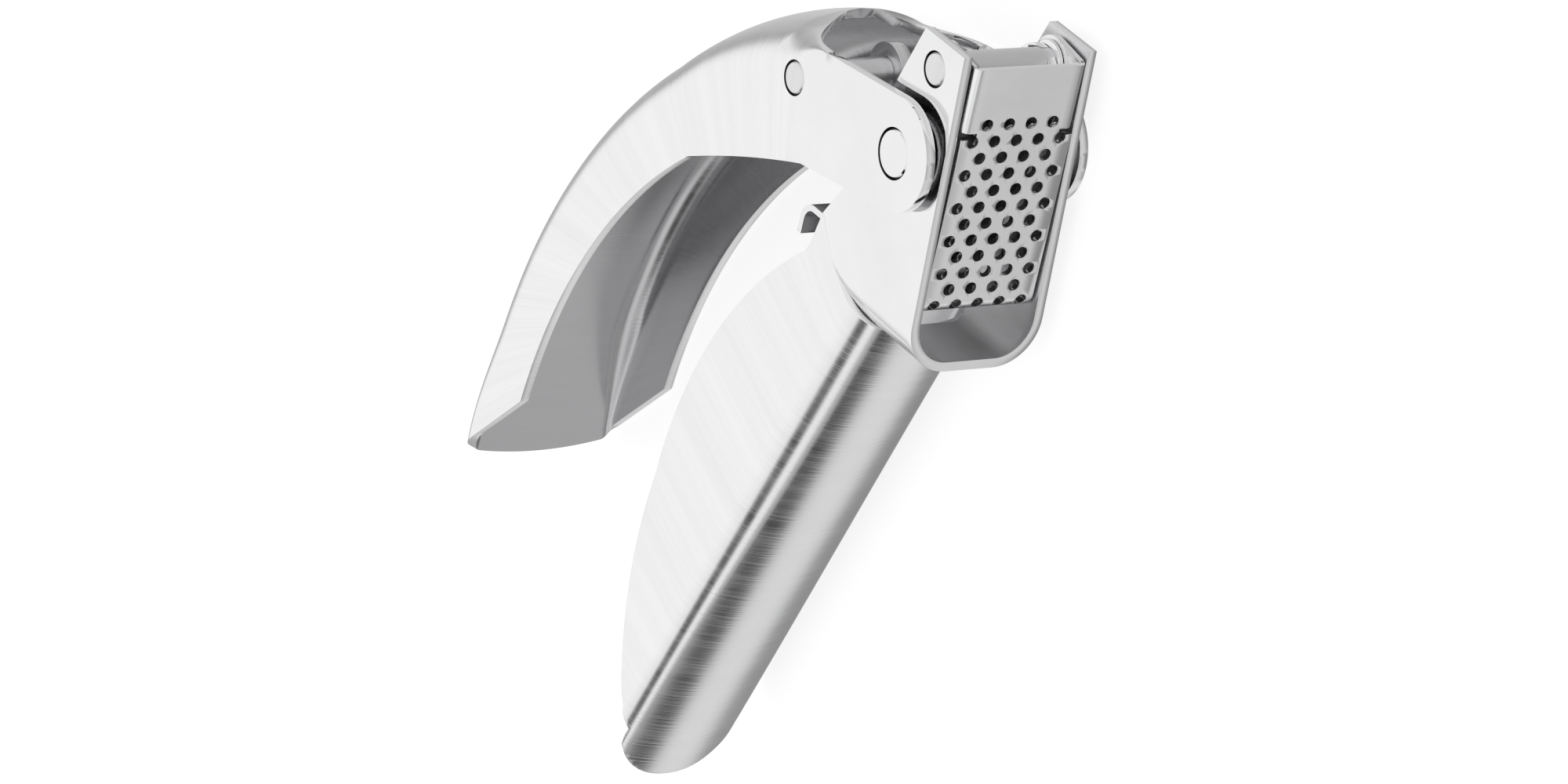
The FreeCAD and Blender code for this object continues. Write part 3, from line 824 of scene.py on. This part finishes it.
@dataclass
class LowerHandle:
    """Deep channel whose back narrows to a rounded tongue.

    Attributes:
        corner: Where the back meets the head, from the pivot.
        slope: Angle of the back, in degrees.
        length: Length of the back.
        half_width: Half of the outer width.
        thickness: Sheet thickness.
        shoulder: Rounding between the back and the side walls, at the head.
        end_shoulder: The same rounding at the tongue.
        crown: How far the middle of the back stands proud of its shoulders, at the head.
        end_crown: The same height at the tongue.
        tongue_length: Length of the rounded end, seen from behind.
        tongue_fullness: Shape of the rounded end, 2 for an ellipse and more for squarer.
        seam: Edge that meets the head: place along the back at each depth.
        rim: Open side, along the back and into the depth.
        rim_bends: Bends of the rim's arcs.
    """

    corner: Point = (-1.4, -37.1)
    slope: float = -111.56
    length: float = 128.6
    half_width: float = 14.0
    thickness: float = 1.8
    shoulder: float = 7.4
    end_shoulder: float = 4.8
    crown: float = 0.9
    end_crown: float = 1.7
    tongue_length: float = 18.6
    tongue_fullness: float = 2.4
    seam: tuple[Point, ...] = ((0.0, 0.0), (-3.2, -15.9), (-7.4, -23.4))
    rim: tuple[Point, ...] = ((1.3, -22.2), (71.0, -28.2), (116.5, -2.8), (128.6, -2.8))
    rim_bends: tuple[float, ...] = (89.6, 85.0)

    def rim_depth(self) -> list[Point]:
        """Points along the open side, from the head to the tongue."""
        return chain([self.seam[-1], self.rim[0]],
                     arc(self.rim[0], self.rim[1], self.rim_bends[0], 80),
                     arc(self.rim[1], self.rim[2], self.rim_bends[1], 60),
                     [self.rim[2], self.rim[3]])

    @staticmethod
    def read(points: list[Point], at: float, key: int) -> float:
        """Read a line of points at a value of one coordinate.

        Args:
            points: Line of points.
            at: Value of the known coordinate.
            key: Which coordinate is known, 0 or 1.

        Returns:
            Value of the other coordinate.
        """
        for one, two in zip(points, points[1:]):
            low, high = sorted((one[key], two[key]))
            if low <= at <= high and high > low:
                share = (at - one[key]) / (two[key] - one[key])
                return one[1 - key] + (two[1 - key] - one[1 - key]) * share
        nearest = min(points, key=lambda point: abs(point[key] - at))
        return nearest[1 - key]

    def rows(self) -> list[Row]:
        """Rows of the outer face, from the head to the tongue's end.

        Returns:
            Rows of places, with the middle of each row on the back.
        """
        rim = self.rim_depth()
        places = [14.0 * (step / 12) ** 1.5 for step in range(12)]
        reach = self.length - self.tongue_length
        places += [14.0 + (reach - 14.0) * step / 70 for step in range(70)]
        places += [reach + self.tongue_length * math.sin(math.pi / 2 * step / 30)
                   for step in range(31)]
        turn = Matrix.Rotation(math.radians(self.slope), 2)
        rows = []
        for place in places:
            fade = 1.0 - smooth_step(place, 0.0, 14.0)
            deep = 24.0
            for _ in range(12):
                spot = place + fade * self.read(list(self.seam), -deep, 1)
                deep = -self.read(rim, spot, 0)
            share = min(max(place - reach, 0.0) / self.tongue_length, 1.0)
            width = self.half_width * (1.0 - share ** self.tongue_fullness) ** (
                1.0 / self.tongue_fullness)
            half = []
            shoulder = self.shoulder + (self.end_shoulder - self.shoulder) * smooth_step(
                place, 15.0, reach + 2.0)
            crown = self.crown + (self.end_crown - self.crown) * smooth_step(
                place, 20.0, reach)
            for across, depth, distance in self.section(deep, width, shoulder, crown):
                spot = place + fade * self.read(list(self.seam), -depth, 1)
                flat = turn @ Vector((spot, -depth)) + Vector(self.corner)
                half.append((Vector((flat.x, flat.y, across)), distance))
            rows.append(mirrored(half))
        return rows

    def section(self, deep: float, width: float, shoulder: float,
                rise: float) -> list[tuple[float, float, float]]:
        """Half of the channel's outer section, cut off at a depth and a width.

        Args:
            deep: Depth of the open side.
            width: Half of the width that is left.
            shoulder: Rounding between the back and the side wall.
            rise: Height of the crown.

        Returns:
            Distance from the middle plane, depth below the back and reach across the sheet.
        """
        flat = self.half_width - shoulder
        crown = (flat ** 2 + rise ** 2) / (2.0 * rise) + shoulder
        lean = math.asin(flat / (crown - shoulder))
        low = crown - (crown - shoulder) * math.cos(lean)
        turn = crown * math.sin(lean)

        def depth_at(across: float) -> float:
            """Find the depth of the back at a distance from the middle plane.

            Args:
                across: Distance from the middle plane.

            Returns:
                Depth below the middle of the back.
            """
            if across < turn:
                return crown - math.sqrt(crown ** 2 - across ** 2)
            return low - math.sqrt(max(shoulder ** 2 - (across - flat) ** 2, 0.0))

        spots = [(crown * math.sin(lean * step / 8), crown * lean * step / 8)
                 for step in range(9)]
        for step in range(1, 15):
            angle = lean + (math.pi / 2 - lean) * step / 14
            spots.append((flat + shoulder * math.sin(angle),
                          crown * lean + shoulder * (angle - lean)))
        limit = width
        if deep < low:
            limit = min(width, flat + math.sqrt(shoulder ** 2 - (low - deep) ** 2))
        result = [(min(across, limit), min(depth_at(min(across, limit)), deep), reach)
                  for across, reach in spots]
        edge = spots[-1][1]
        wall = max(deep - low, 0.0)
        result += [(min(self.half_width, limit), result[-1][1] + wall * step / 9,
                    edge + wall * step / 9) for step in range(1, 10)]
        return result

    def build(self) -> bpy.types.Object:
        """Make the handle and put it on its body.

        Returns:
            The finished handle.
        """
        # The inner face gets the darker painted-shade finish.
        item = sheet_mesh("straight_handle", [self.rows()], self.thickness, Axis.PIVOT.place(),
                          BRUSHED, INSIDE_PAINTED_SHADE)
        soften(item, 0.12)
        return hand_over(item, "frame", "brushed", "lower_handle")


@dataclass
class HeadFrame:
    """Strip bent round the sieve, with an ear on each side for the top rod.

    Attributes:
        half_width: Half of the outer width.
        thickness: Sheet thickness.
        bottom: Height of the underside, from the pivot.
        corner: Rounding between the bottom and the walls.
        front: Front edge of the side walls, upwards.
        rear: Rear edge of the side walls, upwards.
        rod_place: Place of the top rod.
        rod_radius: Radius of the top rod.
        gap: Width of the fine line round each rod end.
    """

    half_width: float = 14.0
    thickness: float = 1.8
    bottom: float = -37.1
    corner: float = 9.0
    front: tuple[Point, ...] = ((12.9, -37.1), (9.6, 22.7))
    rear: tuple[Point, ...] = ((-1.4, -37.1), (-15.0, -28.3), (-20.4, -21.6), (-15.4, -13.7),
                               (-7.7, 10.7), (-3.0, 22.7))
    rod_place: Point = (2.0, 17.0)
    rod_radius: float = 3.0
    gap: float = 0.3

    def build(self) -> bpy.types.Object:
        """Make the frame and put it on its body.

        Returns:
            The finished head.
        """
        levels = []
        for (_, low), (_, high) in zip(self.rear[1:], self.rear[2:]):
            levels += [low + (high - low) * step / 6 for step in range(6)]
        levels.append(self.rear[-1][1])
        path = [(self.half_width, level) for level in reversed(levels)]
        turn = self.bottom + self.corner
        flat = self.half_width - self.corner
        path = [(width, level) for width, level in path if level > turn + 0.01]
        path += [(flat + self.corner * math.cos(math.pi / 2 * step / 16),
                  turn - self.corner * math.sin(math.pi / 2 * step / 16)) for step in range(17)]
        path += [(0.0, self.bottom)]
        path += [(-width, level) for width, level in path[-2::-1]]
        rows = []
        reach = 0.0
        for index, (width, level) in enumerate(path):
            if index:
                reach += math.dist(path[index - 1], (width, level))
            front = LowerHandle.read(list(self.front), level, 1)
            rear = LowerHandle.read(list(self.rear), level, 1)
            rows.append([(Vector((front + (rear - front) * step / 14, level, width)),
                          -(rear - front) * step / 14) for step in range(15)])
        pivot = Axis.PIVOT.place()
        item = sheet_mesh("head_strip", [rows], self.thickness, pivot, POLISHED, HOLLOW)
        bore(item, pivot + MM * Vector((*self.rod_place, 0.0)), self.rod_radius + self.gap,
             THROUGH, 48)
        soften(item, 0.22)
        return hand_over(item, "frame", "polished", "head_frame")


# ----------------------------------------------------------------------------------------
# Sieve
# ----------------------------------------------------------------------------------------


class Perforation:
    """Staggered round holes through a plate, made with Geometry Nodes."""

    SIZES = ("Pitch", "Row Spacing", "Hole Radius", "Plate Front", "Drill Length", "Top",
             "Depth Middle")

    def __init__(self, name: str, long_row: int, rows: int) -> None:
        """Build the tree.

        Args:
            name: Name of the tree.
            long_row: Holes in each longer row; the shorter rows have one less.
            rows: Number of rows, half of them long.
        """
        self.tree = bpy.data.node_groups.new(name, "GeometryNodeTree")
        sockets = self.tree.interface
        sockets.new_socket("Geometry", in_out="INPUT", socket_type="NodeSocketGeometry")
        self.inputs = {}
        for label in self.SIZES:
            socket = sockets.new_socket(label, in_out="INPUT", socket_type="NodeSocketFloat")
            self.inputs[label] = socket.identifier
        finish = sockets.new_socket("Finish", in_out="INPUT", socket_type="NodeSocketMaterial")
        self.inputs["Finish"] = finish.identifier
        sockets.new_socket("Geometry", in_out="OUTPUT", socket_type="NodeSocketGeometry")
        self.start = self.tree.nodes.new("NodeGroupInput")
        points = self.join([self.row_grid(long_row - 1, rows // 2, 0),
                            self.row_grid(long_row, rows // 2, 1)])
        drill = self.node("GeometryNodeMeshCylinder", {"Vertices": 24})
        self.link(self.start.outputs["Hole Radius"], drill.inputs["Radius"])
        self.link(self.start.outputs["Drill Length"], drill.inputs["Depth"])
        spread = self.node("GeometryNodeInstanceOnPoints")
        self.link(points, spread.inputs["Points"])
        self.link(drill.outputs["Mesh"], spread.inputs["Instance"])
        spread.inputs["Rotation"].default_value = (0.0, math.pi / 2, 0.0)
        real = self.node("GeometryNodeRealizeInstances")
        self.link(spread.outputs["Instances"], real.inputs["Geometry"])
        holes = self.node("GeometryNodeMeshBoolean", operation="DIFFERENCE", solver="EXACT")
        self.link(self.start.outputs["Geometry"], holes.inputs["Mesh 1"])
        self.link(real.outputs["Geometry"], holes.inputs["Mesh 2"])
        whole = self.node("GeometryNodeRealizeInstances")
        self.link(holes.outputs["Mesh"], whole.inputs["Geometry"])
        paint = self.node("GeometryNodeSetMaterial")
        self.link(whole.outputs["Geometry"], paint.inputs["Geometry"])
        self.link(self.start.outputs["Finish"], paint.inputs["Material"])
        end = self.node("NodeGroupOutput")
        self.link(paint.outputs["Geometry"], end.inputs["Geometry"])

    def node(self, kind: str, values: dict[str, object] | None = None,
             **settings: object) -> bpy.types.Node:
        """Add a node with settings and input values.

        Args:
            kind: Type of the node.
            values: Values of its inputs.
            **settings: Properties of the node.

        Returns:
            The new node.
        """
        node = self.tree.nodes.new(kind)
        for name, value in settings.items():
            setattr(node, name, value)
        for name, value in (values or {}).items():
            node.inputs[name].default_value = value
        return node

    def link(self, start: bpy.types.NodeSocket, end: bpy.types.NodeSocket) -> None:
        """Link an output to an input."""
        self.tree.links.new(start, end)

    def join(self, parts: list[bpy.types.NodeSocket]) -> bpy.types.NodeSocket:
        """Join several geometries.

        Args:
            parts: Sockets with the geometries.

        Returns:
            Socket with all of them.
        """
        node = self.node("GeometryNodeJoinGeometry")
        for part in parts:
            self.link(part, node.inputs["Geometry"])
        return node.outputs["Geometry"]

    def figure(self, operation: str, one: object, two: object) -> bpy.types.NodeSocket:
        """Do a sum on two sockets or numbers.

        Args:
            operation: Kind of sum.
            one: First socket or number.
            two: Second socket or number.

        Returns:
            Socket with the result.
        """
        node = self.node("ShaderNodeMath", operation=operation)
        for socket, value in zip(node.inputs, (one, two)):
            if isinstance(value, (int, float)):
                socket.default_value = value
            else:
                self.link(value, socket)
        return node.outputs["Value"]

    def row_grid(self, holes: int, rows: int, shift: int) -> bpy.types.NodeSocket:
        """Points of every other row of holes.

        Args:
            holes: Holes in each row.
            rows: Number of rows.
            shift: Rows between the plate's first row and this grid's first row.

        Returns:
            Socket with the grid's points, on the plate.
        """
        given = self.start.outputs
        grid = self.node("GeometryNodeMeshGrid", {"Vertices X": holes, "Vertices Y": rows})
        self.link(self.figure("MULTIPLY", given["Pitch"], holes - 1), grid.inputs["Size X"])
        self.link(self.figure("MULTIPLY", given["Row Spacing"], 2 * (rows - 1)),
                  grid.inputs["Size Y"])
        down = self.figure("MULTIPLY", given["Row Spacing"], rows - 1 + shift)
        place = self.node("ShaderNodeCombineXYZ")
        self.link(given["Plate Front"], place.inputs["X"])
        self.link(self.figure("SUBTRACT", given["Top"], down), place.inputs["Y"])
        self.link(given["Depth Middle"], place.inputs["Z"])
        move = self.node("GeometryNodeTransform")
        self.link(grid.outputs["Mesh"], move.inputs["Geometry"])
        self.link(place.outputs["Vector"], move.inputs["Translation"])
        move.inputs["Rotation"].default_value = (0.0, math.pi / 2, 0.0)
        return move.outputs["Geometry"]

    def apply(self, item: bpy.types.Object, finish: "Metal", **sizes: float) -> bpy.types.Object:
        """Drill an item.

        Args:
            item: Plate to drill.
            finish: Finish of the drilled plate.
            **sizes: The tree's inputs in metres, with underscores for spaces.

        Returns:
            The same object, with a plain mesh.
        """
        modifier = item.modifiers.new("perforation", "NODES")
        modifier.node_group = self.tree
        for label, value in sizes.items():
            modifier[self.inputs[label.replace("_", " ")]] = value
        modifier[self.inputs["Finish"]] = finish.material()
        return settle(item)


@dataclass
class SieveBasket:
    """Perforated plate with two flanges, a floor under the chamber and a curled tab.

    Attributes:
        front: Distance from the top rod to the plate's face.
        thickness: Sheet thickness.
        half_width: Half of the outer width.
        top: Height of the plate's top edge, from the top rod.
        flange_low: Height of the flanges' lower edge.
        notch: Height of the relief cuts under the flanges.
        notch_width: Half of the plate's width between the relief cuts.
        bend: Rounding between the plate and its flanges.
        flange_back: Width of the flanges' lower edge.
        eye_radius: Rounding of the flanges about the top rod.
        floor: Height of the floor's underside.
        corner: Rounding between the plate and the floor.
        floor_step: Distance from the face to where the floor narrows.
        floor_half_width: Half of the narrow floor's width.
        curl: Where the tab begins to curl.
        curl_radius: Rounding of the curled tab.
        curl_drop: Length of the tab below its curl.
        hole_radius: Radius of each small hole.
        hole_pitch: Distance between neighbours in a row of holes.
        hole_row: Distance between rows of holes.
        hole_top: Height of the first row.
        drill: Length of the drill for the small holes.
        rod_radius: Radius of the top rod.
        eye_play: Play of the eyes on the top rod.
    """

    front: float = 9.1
    thickness: float = 1.2
    half_width: float = 11.65
    top: float = 3.8
    flange_low: float = -8.3
    notch: float = -9.5
    notch_width: float = 8.75
    bend: float = 1.5
    flange_back: float = 3.2
    eye_radius: float = 5.0
    floor: float = -43.8
    corner: float = 3.0
    floor_step: float = 12.0
    floor_half_width: float = 9.0
    curl: float = -32.0
    curl_radius: float = 3.6
    curl_drop: float = 3.0
    hole_radius: float = 1.15
    hole_pitch: float = 4.63
    hole_row: float = 3.19
    hole_top: float = -6.8
    drill: float = 6.0
    rod_radius: float = 3.0
    eye_play: float = 0.1

    def columns(self) -> list[float]:
        """Places across the plate, including the relief cuts' sides."""
        inner = [self.notch_width * (step - 8) / 8 for step in range(17)]
        return [-self.half_width, *inner, self.half_width]

    def flange_rows(self) -> list[Row]:
        """Rows of the plate's top part with its two flanges.

        Returns:
            Rows from the top edge down.
        """
        low_back = (self.front - self.flange_back, self.flange_low)
        rear_touch = touch(low_back, self.eye_radius, -1)
        top_touch = touch((self.front, self.top), self.eye_radius, 1)
        high = math.atan2(top_touch[1], top_touch[0])
        deep = math.atan2(rear_touch[1], rear_touch[0]) % math.tau
        outline = straight(low_back, rear_touch, 8)
        outline += [(self.eye_radius * math.cos(deep + (high - deep) * step / 24),
                     self.eye_radius * math.sin(deep + (high - deep) * step / 24))
                    for step in range(1, 25)]
        edge = self.front - self.bend
        share = (top_touch[0] - edge) / (top_touch[0] - self.front)
        outline.append((edge, top_touch[1] + (self.top - top_touch[1]) * share))
        rows = []
        count = len(outline) - 1
        for index, (back_x, back_y) in enumerate(reversed(outline)):
            level = self.top + (self.flange_low - self.top) * index / count
            half = [(Vector((self.front, level, place)), place) for place in self.columns()
                    if 0.0 <= place <= self.notch_width + 0.01]
            centre = self.half_width - self.bend
            for step in range(7):
                angle = math.pi / 2 * step / 6
                half.append((Vector((edge + self.bend * math.cos(angle), level,
                                     centre + self.bend * math.sin(angle))),
                             centre + self.bend * angle))
            bent = centre + self.bend * math.pi / 2
            for step in range(1, 9):
                share = step / 8
                half.append((Vector((edge + (back_x - edge) * share,
                                     level + (back_y - level) * share, self.half_width)),
                             bent + (edge - back_x) * share))
            rows.append(mirrored(half))
        return rows

    def strip_rows(self) -> list[list[Row]]:
        """Grids of the strip below the flanges.

        Returns:
            Grids of the neck, of the plate with its bend, and of the floor with its tab.
        """
        columns = self.columns()
        neck = [[(Vector((self.front, level, place)), place) for place in columns[1:-1]]
                for level in (self.flange_low, self.notch)]
        path = straight((self.front, self.notch), (self.front, self.floor + self.corner), 24)
        path += [(self.front - self.corner + self.corner * math.cos(math.pi / 2 * step / 8),
                  self.floor + self.corner - self.corner * math.sin(math.pi / 2 * step / 8))
                 for step in range(1, 9)]
        step_x = self.front - self.floor_step
        path += straight(path[-1], (step_x, self.floor), 4)[1:]
        rear = straight((step_x, self.floor), (self.curl, self.floor), 10)
        inside = self.curl_radius - self.thickness
        rear += [(self.curl - inside * math.sin(math.pi / 2 * step / 8),
                  self.floor - inside + inside * math.cos(math.pi / 2 * step / 8))
                 for step in range(1, 9)]
        rear += [(rear[-1][0], rear[-1][1] - self.curl_drop * step / 3) for step in range(1, 4)]
        grids = [neck]
        for part, width in ((path, None), (rear, self.floor_half_width)):
            rows = []
            for x, y in part:
                places = columns if width is None else [
                    min(max(place, -width), width) for place in columns]
                rows.append([(Vector((x, y, place)), place) for place in places])
            grids.append(rows)
        return grids

    def build(self) -> bpy.types.Object:
        """Make the sieve, drill it and put it on its body.

        Returns:
            The finished sieve.
        """
        rod = Axis.ROD.place()
        item = sheet_mesh("sieve", [self.flange_rows(), *self.strip_rows()], self.thickness, rod,
                          SATIN, SATIN)
        bore(item, rod, self.rod_radius + self.eye_play, THROUGH, 48)
        holes = Perforation("sieve_perforation", 5, 12)
        holes.apply(item, SATIN, Pitch=self.hole_pitch * MM, Row_Spacing=self.hole_row * MM,
                    Hole_Radius=self.hole_radius * MM,
                    Plate_Front=rod.x + (self.front - self.thickness) * MM,
                    Drill_Length=self.drill * MM,
                    Top=rod.y + self.hole_top * MM, Depth_Middle=rod.z)
        soften(item, 0.12, 40.0, 2)
        return hand_over(item, "sieve", "sieve", "sieve_basket")


# ----------------------------------------------------------------------------------------
# Rods, rivets and the plunger
# ----------------------------------------------------------------------------------------


class Side(Enum):
    """Sides of the press, with the direction of each from its middle plane."""

    LEFT = 1
    RIGHT = -1

    def depths(self, profile: list[Point]) -> list[Point]:
        """Turn a profile to this side, with its depths growing.

        Args:
            profile: Profile of the left piece.

        Returns:
            Profile of this side's piece.
        """
        if self is Side.LEFT:
            return profile
        return [(radius, -depth) for radius, depth in reversed(profile)]


@dataclass
class Fasteners:
    """Rods, rivets and washers that the press turns on.

    Attributes:
        rod_radius: Radius of both rods.
        head_half: Half of the top rod's length.
        arm_half: Half of the link rod's length.
        rivet_radius: Radius of the pivot rivets' heads.
        stem_radius: Radius of the rivets' stems.
        stem_low: Distance from the middle plane to the stems' inner ends.
        head_low: Distance from the middle plane to the heads' inner faces.
        chamfer: Width of the turned edges.
    """

    rod_radius: float = 3.0
    head_half: float = 14.0
    arm_half: float = 17.15
    rivet_radius: float = 4.4
    stem_radius: float = 3.0
    stem_low: float = 12.2
    head_low: float = 15.35
    chamfer: float = 0.3

    def rod(self, name: str, half: float, origin: Vector) -> bpy.types.Object:
        """Make a turned rod with a shallow dished face at each end.

        Args:
            name: Name of the rod.
            half: Half of its length, in millimetres.
            origin: Its middle, in metres.

        Returns:
            The finished rod.
        """
        edge = self.rod_radius - self.chamfer
        end = [(0.0, half - 0.12), (edge * 0.75, half - 0.05), (edge, half),
               (self.rod_radius, half - self.chamfer)]
        low = [(radius, -depth) for radius, depth in end]
        profile = [*low, *reversed(end)]
        return dress(turned(name, profile, origin), TURNED)

    def rivet(self, side: Side) -> bpy.types.Object:
        """Make a pivot rivet with a flat round head flush with the arm.

        Args:
            side: Side of the press that it is on.

        Returns:
            The rivet, without a finish.
        """
        top = self.arm_half
        edge = self.rivet_radius - self.chamfer
        profile = [(0.0, self.stem_low), (self.stem_radius - 0.2, self.stem_low),
                   (self.stem_radius, self.stem_low + 0.2), (self.stem_radius, self.head_low),
                   (self.rivet_radius, self.head_low), (self.rivet_radius, top - self.chamfer),
                   (edge, top), (edge * 0.8, top - 0.06), (0.0, top - 0.15)]
        return turned(f"{side.name.lower()}_rivet", side.depths(profile), Axis.PIVOT.place())

    def build(self) -> None:
        """Make the fasteners and put them on their bodies."""
        hand_over(self.rod("sieve_rod", self.head_half, Axis.ROD.place()), "frame", "rod",
                  "top_rod")
        hand_over(self.rod("handle_rod", self.arm_half, Axis.LINK.place()), "handle",
                  "polished", "link_rod")
        for side in Side:
            word = side.name.lower()
            hand_over(dress(self.rivet(side), RIVETED), "frame", "rod", f"{word}_pivot_rivet")
            for kind in ("pivot_washer", "rod_washer"):
                washer = copy_of(f"{word}_{kind}", f"{word}_{kind}_ring", 0.15)
                hand_over(dress(washer, POLISHED), "frame", "polished", f"{word}_{kind}")


@dataclass
class Plunger:
    """Plate, arms, bracket, pin and link that push garlic through the sieve.

    Attributes:
        edges: Width of the rounding on each piece, in millimetres.
        link_edge: Width of the rounding on the link.
    """

    edges: dict[str, float] = field(default_factory=lambda: {
        "plunger_plate": 0.4, "left_plunger_arm": 0.3, "right_plunger_arm": 0.3,
        "plunger_bracket": 0.2, "plunger_pin": 0.2})
    link_edge: float = 0.35

    def build(self) -> None:
        """Make the pieces and put them on their bodies."""
        slots = {"plunger_plate": "sieve", "plunger_pin": "rod"}
        for node, edge in self.edges.items():
            # The plate gets the near-black painted-shade finish so the sieve's holes read black;
            # the other pieces are plain polished steel.
            item = dress(copy_of(node, node + "_finish", edge),
                         PAINTED_SHADE_PLATE if node == "plunger_plate" else POLISHED)
            hand_over(item, "plunger", slots.get(node, "polished"), node)
        link = dress(copy_of("plunger_link", "plunger_link_finish", self.link_edge), TURNED)
        hand_over(link, "link", "rod", "plunger_link")


# ----------------------------------------------------------------------------------------
# Studio
# ----------------------------------------------------------------------------------------


@dataclass(frozen=True)
class Flag:
    """Round patch of another brightness in the surroundings.

    Attributes:
        direction: Direction from the press to its middle.
        core: Angle from its middle to where it begins to fade, in degrees.
        reach: Angle from its middle to where it ends, in degrees.
        grey: Its brightness.
    """

    direction: tuple[float, float, float]
    core: float
    reach: float
    grey: float

    def cover(self, tree: bpy.types.NodeTree, way: bpy.types.NodeSocket,
              colour: bpy.types.NodeSocket) -> bpy.types.NodeSocket:
        """Lay the patch over a colour.

        Args:
            tree: Node tree of the surroundings.
            way: Direction that is looked along.
            colour: Colour under the patch.

        Returns:
            Colour with the patch on it.
        """
        facing = tree.nodes.new("ShaderNodeVectorMath")
        facing.operation = "DOT_PRODUCT"
        tree.links.new(way, facing.inputs[0])
        facing.inputs[1].default_value = Vector(self.direction).normalized()
        share = tree.nodes.new("ShaderNodeMapRange")
        share.interpolation_type = "SMOOTHSTEP"
        share.inputs["From Min"].default_value = math.cos(math.radians(self.reach))
        share.inputs["From Max"].default_value = math.cos(math.radians(self.core))
        tree.links.new(facing.outputs["Value"], share.inputs["Value"])
        mix = tree.nodes.new("ShaderNodeMix")
        mix.data_type = "RGBA"
        tree.links.new(share.outputs["Result"], mix.inputs["Factor"])
        tree.links.new(colour, mix.inputs[6])
        mix.inputs[7].default_value = (self.grey, self.grey, self.grey, 1.0)
        return mix.outputs[2]


@dataclass
class Studio:
    """Pale floor, soft white light and the camera.

    Attributes:
        camera_place: Place of the camera, in metres.
        camera_right: Direction to the camera's right.
        camera_up: Direction up in the camera's view.
        lens: Focal length, in millimetres.
        brightness: Strength of the surroundings.
        levels: Grey of the surroundings at each height, from -1 straight down to 1 straight up.
        flags: Patches that draw dark and light lines along the steel.
        floor_half: Half of the floor's width, in metres.
        floor_height: Height of the floor, just under the press, in metres.
        floor_grey: Grey that the floor scatters.
        floor_glow: Light that the floor gives of itself.
    """

    camera_place: tuple[float, float, float] = (0.85349, 0.49112, 0.64213)
    camera_right: tuple[float, float, float] = (0.5071, 0.1983, -0.8388)
    camera_up: tuple[float, float, float] = (-0.4641, 0.8829, -0.0718)
    lens: float = 144.0
    brightness: float = 1.0
    levels: tuple[Point, ...] = ((-1.0, 0.25), (1.0, 1.0), (-0.74, 0.28), (-0.54, 0.66),
                                 (-0.3, 0.5), (0.0, 0.42), (0.25, 0.62), (0.5, 0.97))
    flags: tuple[Flag, ...] = (
        Flag((0.23, -0.81, 0.54), 5.0, 15.5, 0.0),
        Flag((0.43, -0.87, 0.25), 2.0, 11.0, 0.95),
        Flag((0.43, -0.875, -0.22), 4.5, 12.0, 0.0),
        Flag((0.24, -0.80, -0.56), 4.0, 18.0, 0.75),
        Flag((-0.72, -0.43, 0.55), 12.0, 40.0, 0.96))
    floor_half: float = 3.0
    floor_height: float = -0.0002
    floor_grey: float = 0.35
    floor_glow: float = 0.78

    def camera(self) -> None:
        """Place the camera."""
        data = bpy.data.cameras.new("view")
        data.lens = self.lens
        data.sensor_width = 36.0
        data.clip_start = 0.05
        item = bpy.data.objects.new("view", data)
        bpy.context.scene.collection.objects.link(item)
        right = Vector(self.camera_right).normalized()
        up = (Vector(self.camera_up) - right * right.dot(Vector(self.camera_up))).normalized()
        turn = Matrix((right, up, right.cross(up))).transposed()
        item.matrix_world = Matrix.Translation(self.camera_place) @ turn.to_4x4()
        bpy.context.scene.camera = item

    def surroundings(self) -> None:
        """Soft studio light: white overhead, greyer low down, with the flags over it."""
        world = bpy.data.worlds.new("studio")
        world.use_nodes = True
        tree = world.node_tree
        back = tree.nodes["Background"]
        way = tree.nodes.new("ShaderNodeTexCoord")
        split = tree.nodes.new("ShaderNodeSeparateXYZ")
        tree.links.new(way.outputs["Generated"], split.inputs["Vector"])
        height = tree.nodes.new("ShaderNodeMapRange")
        height.inputs["From Min"].default_value = -1.0
        tree.links.new(split.outputs["Z"], height.inputs["Value"])
        shade = tree.nodes.new("ShaderNodeValToRGB")
        tree.links.new(height.outputs["Result"], shade.inputs["Fac"])
        ramp = shade.color_ramp
        ramp.interpolation = "EASE"
        for index, (level, grey) in enumerate(self.levels):
            stop = ramp.elements[index] if index < 2 else ramp.elements.new(0.5)
            stop.position = (level + 1.0) / 2.0
            stop.color = (grey, grey, grey, 1.0)
        colour = shade.outputs["Color"]
        for flag in self.flags:
            colour = flag.cover(tree, way.outputs["Generated"], colour)
        tree.links.new(colour, back.inputs["Color"])
        back.inputs["Strength"].default_value = self.brightness
        bpy.context.scene.world = world
        bpy.context.scene.view_settings.view_transform = "Standard"

    def floor(self) -> None:
        """Pale floor that the press lies on."""
        mesh = bpy.data.meshes.new("floor")
        corners = ((-1, -1), (1, -1), (1, 1), (-1, 1))
        mesh.from_pydata([(self.floor_half * x, self.floor_half * y, self.floor_height)
                          for x, y in corners], [], [(0, 1, 2, 3)])
        item = new_object("floor", mesh)
        nodes = Nodes("pale_floor")
        settings = {"Base Color": (*[self.floor_grey] * 3, 1.0), "Specular IOR Level": 0.0,
                    "Roughness": 1.0, "Emission Color": (1.0, 1.0, 1.0, 1.0),
                    "Emission Strength": self.floor_glow}
        for name, value in settings.items():
            nodes.surface.inputs[name].default_value = value
        mesh.materials.append(nodes.material)
        item.visible_glossy = False

    def build(self) -> None:
        """Set the whole studio up."""
        self.camera()
        self.surroundings()
        self.floor()


def main() -> None:
    """Build the looks of every piece in order."""
    logging.basicConfig(level=logging.INFO, format="%(name)s: %(message)s")
    Studio().build()
    for piece in (UpperHandle(), LowerHandle(), HeadFrame(), SieveBasket(), Fasteners(),
                  Plunger()):
        piece.build()


if __name__ == "__main__":
    main()
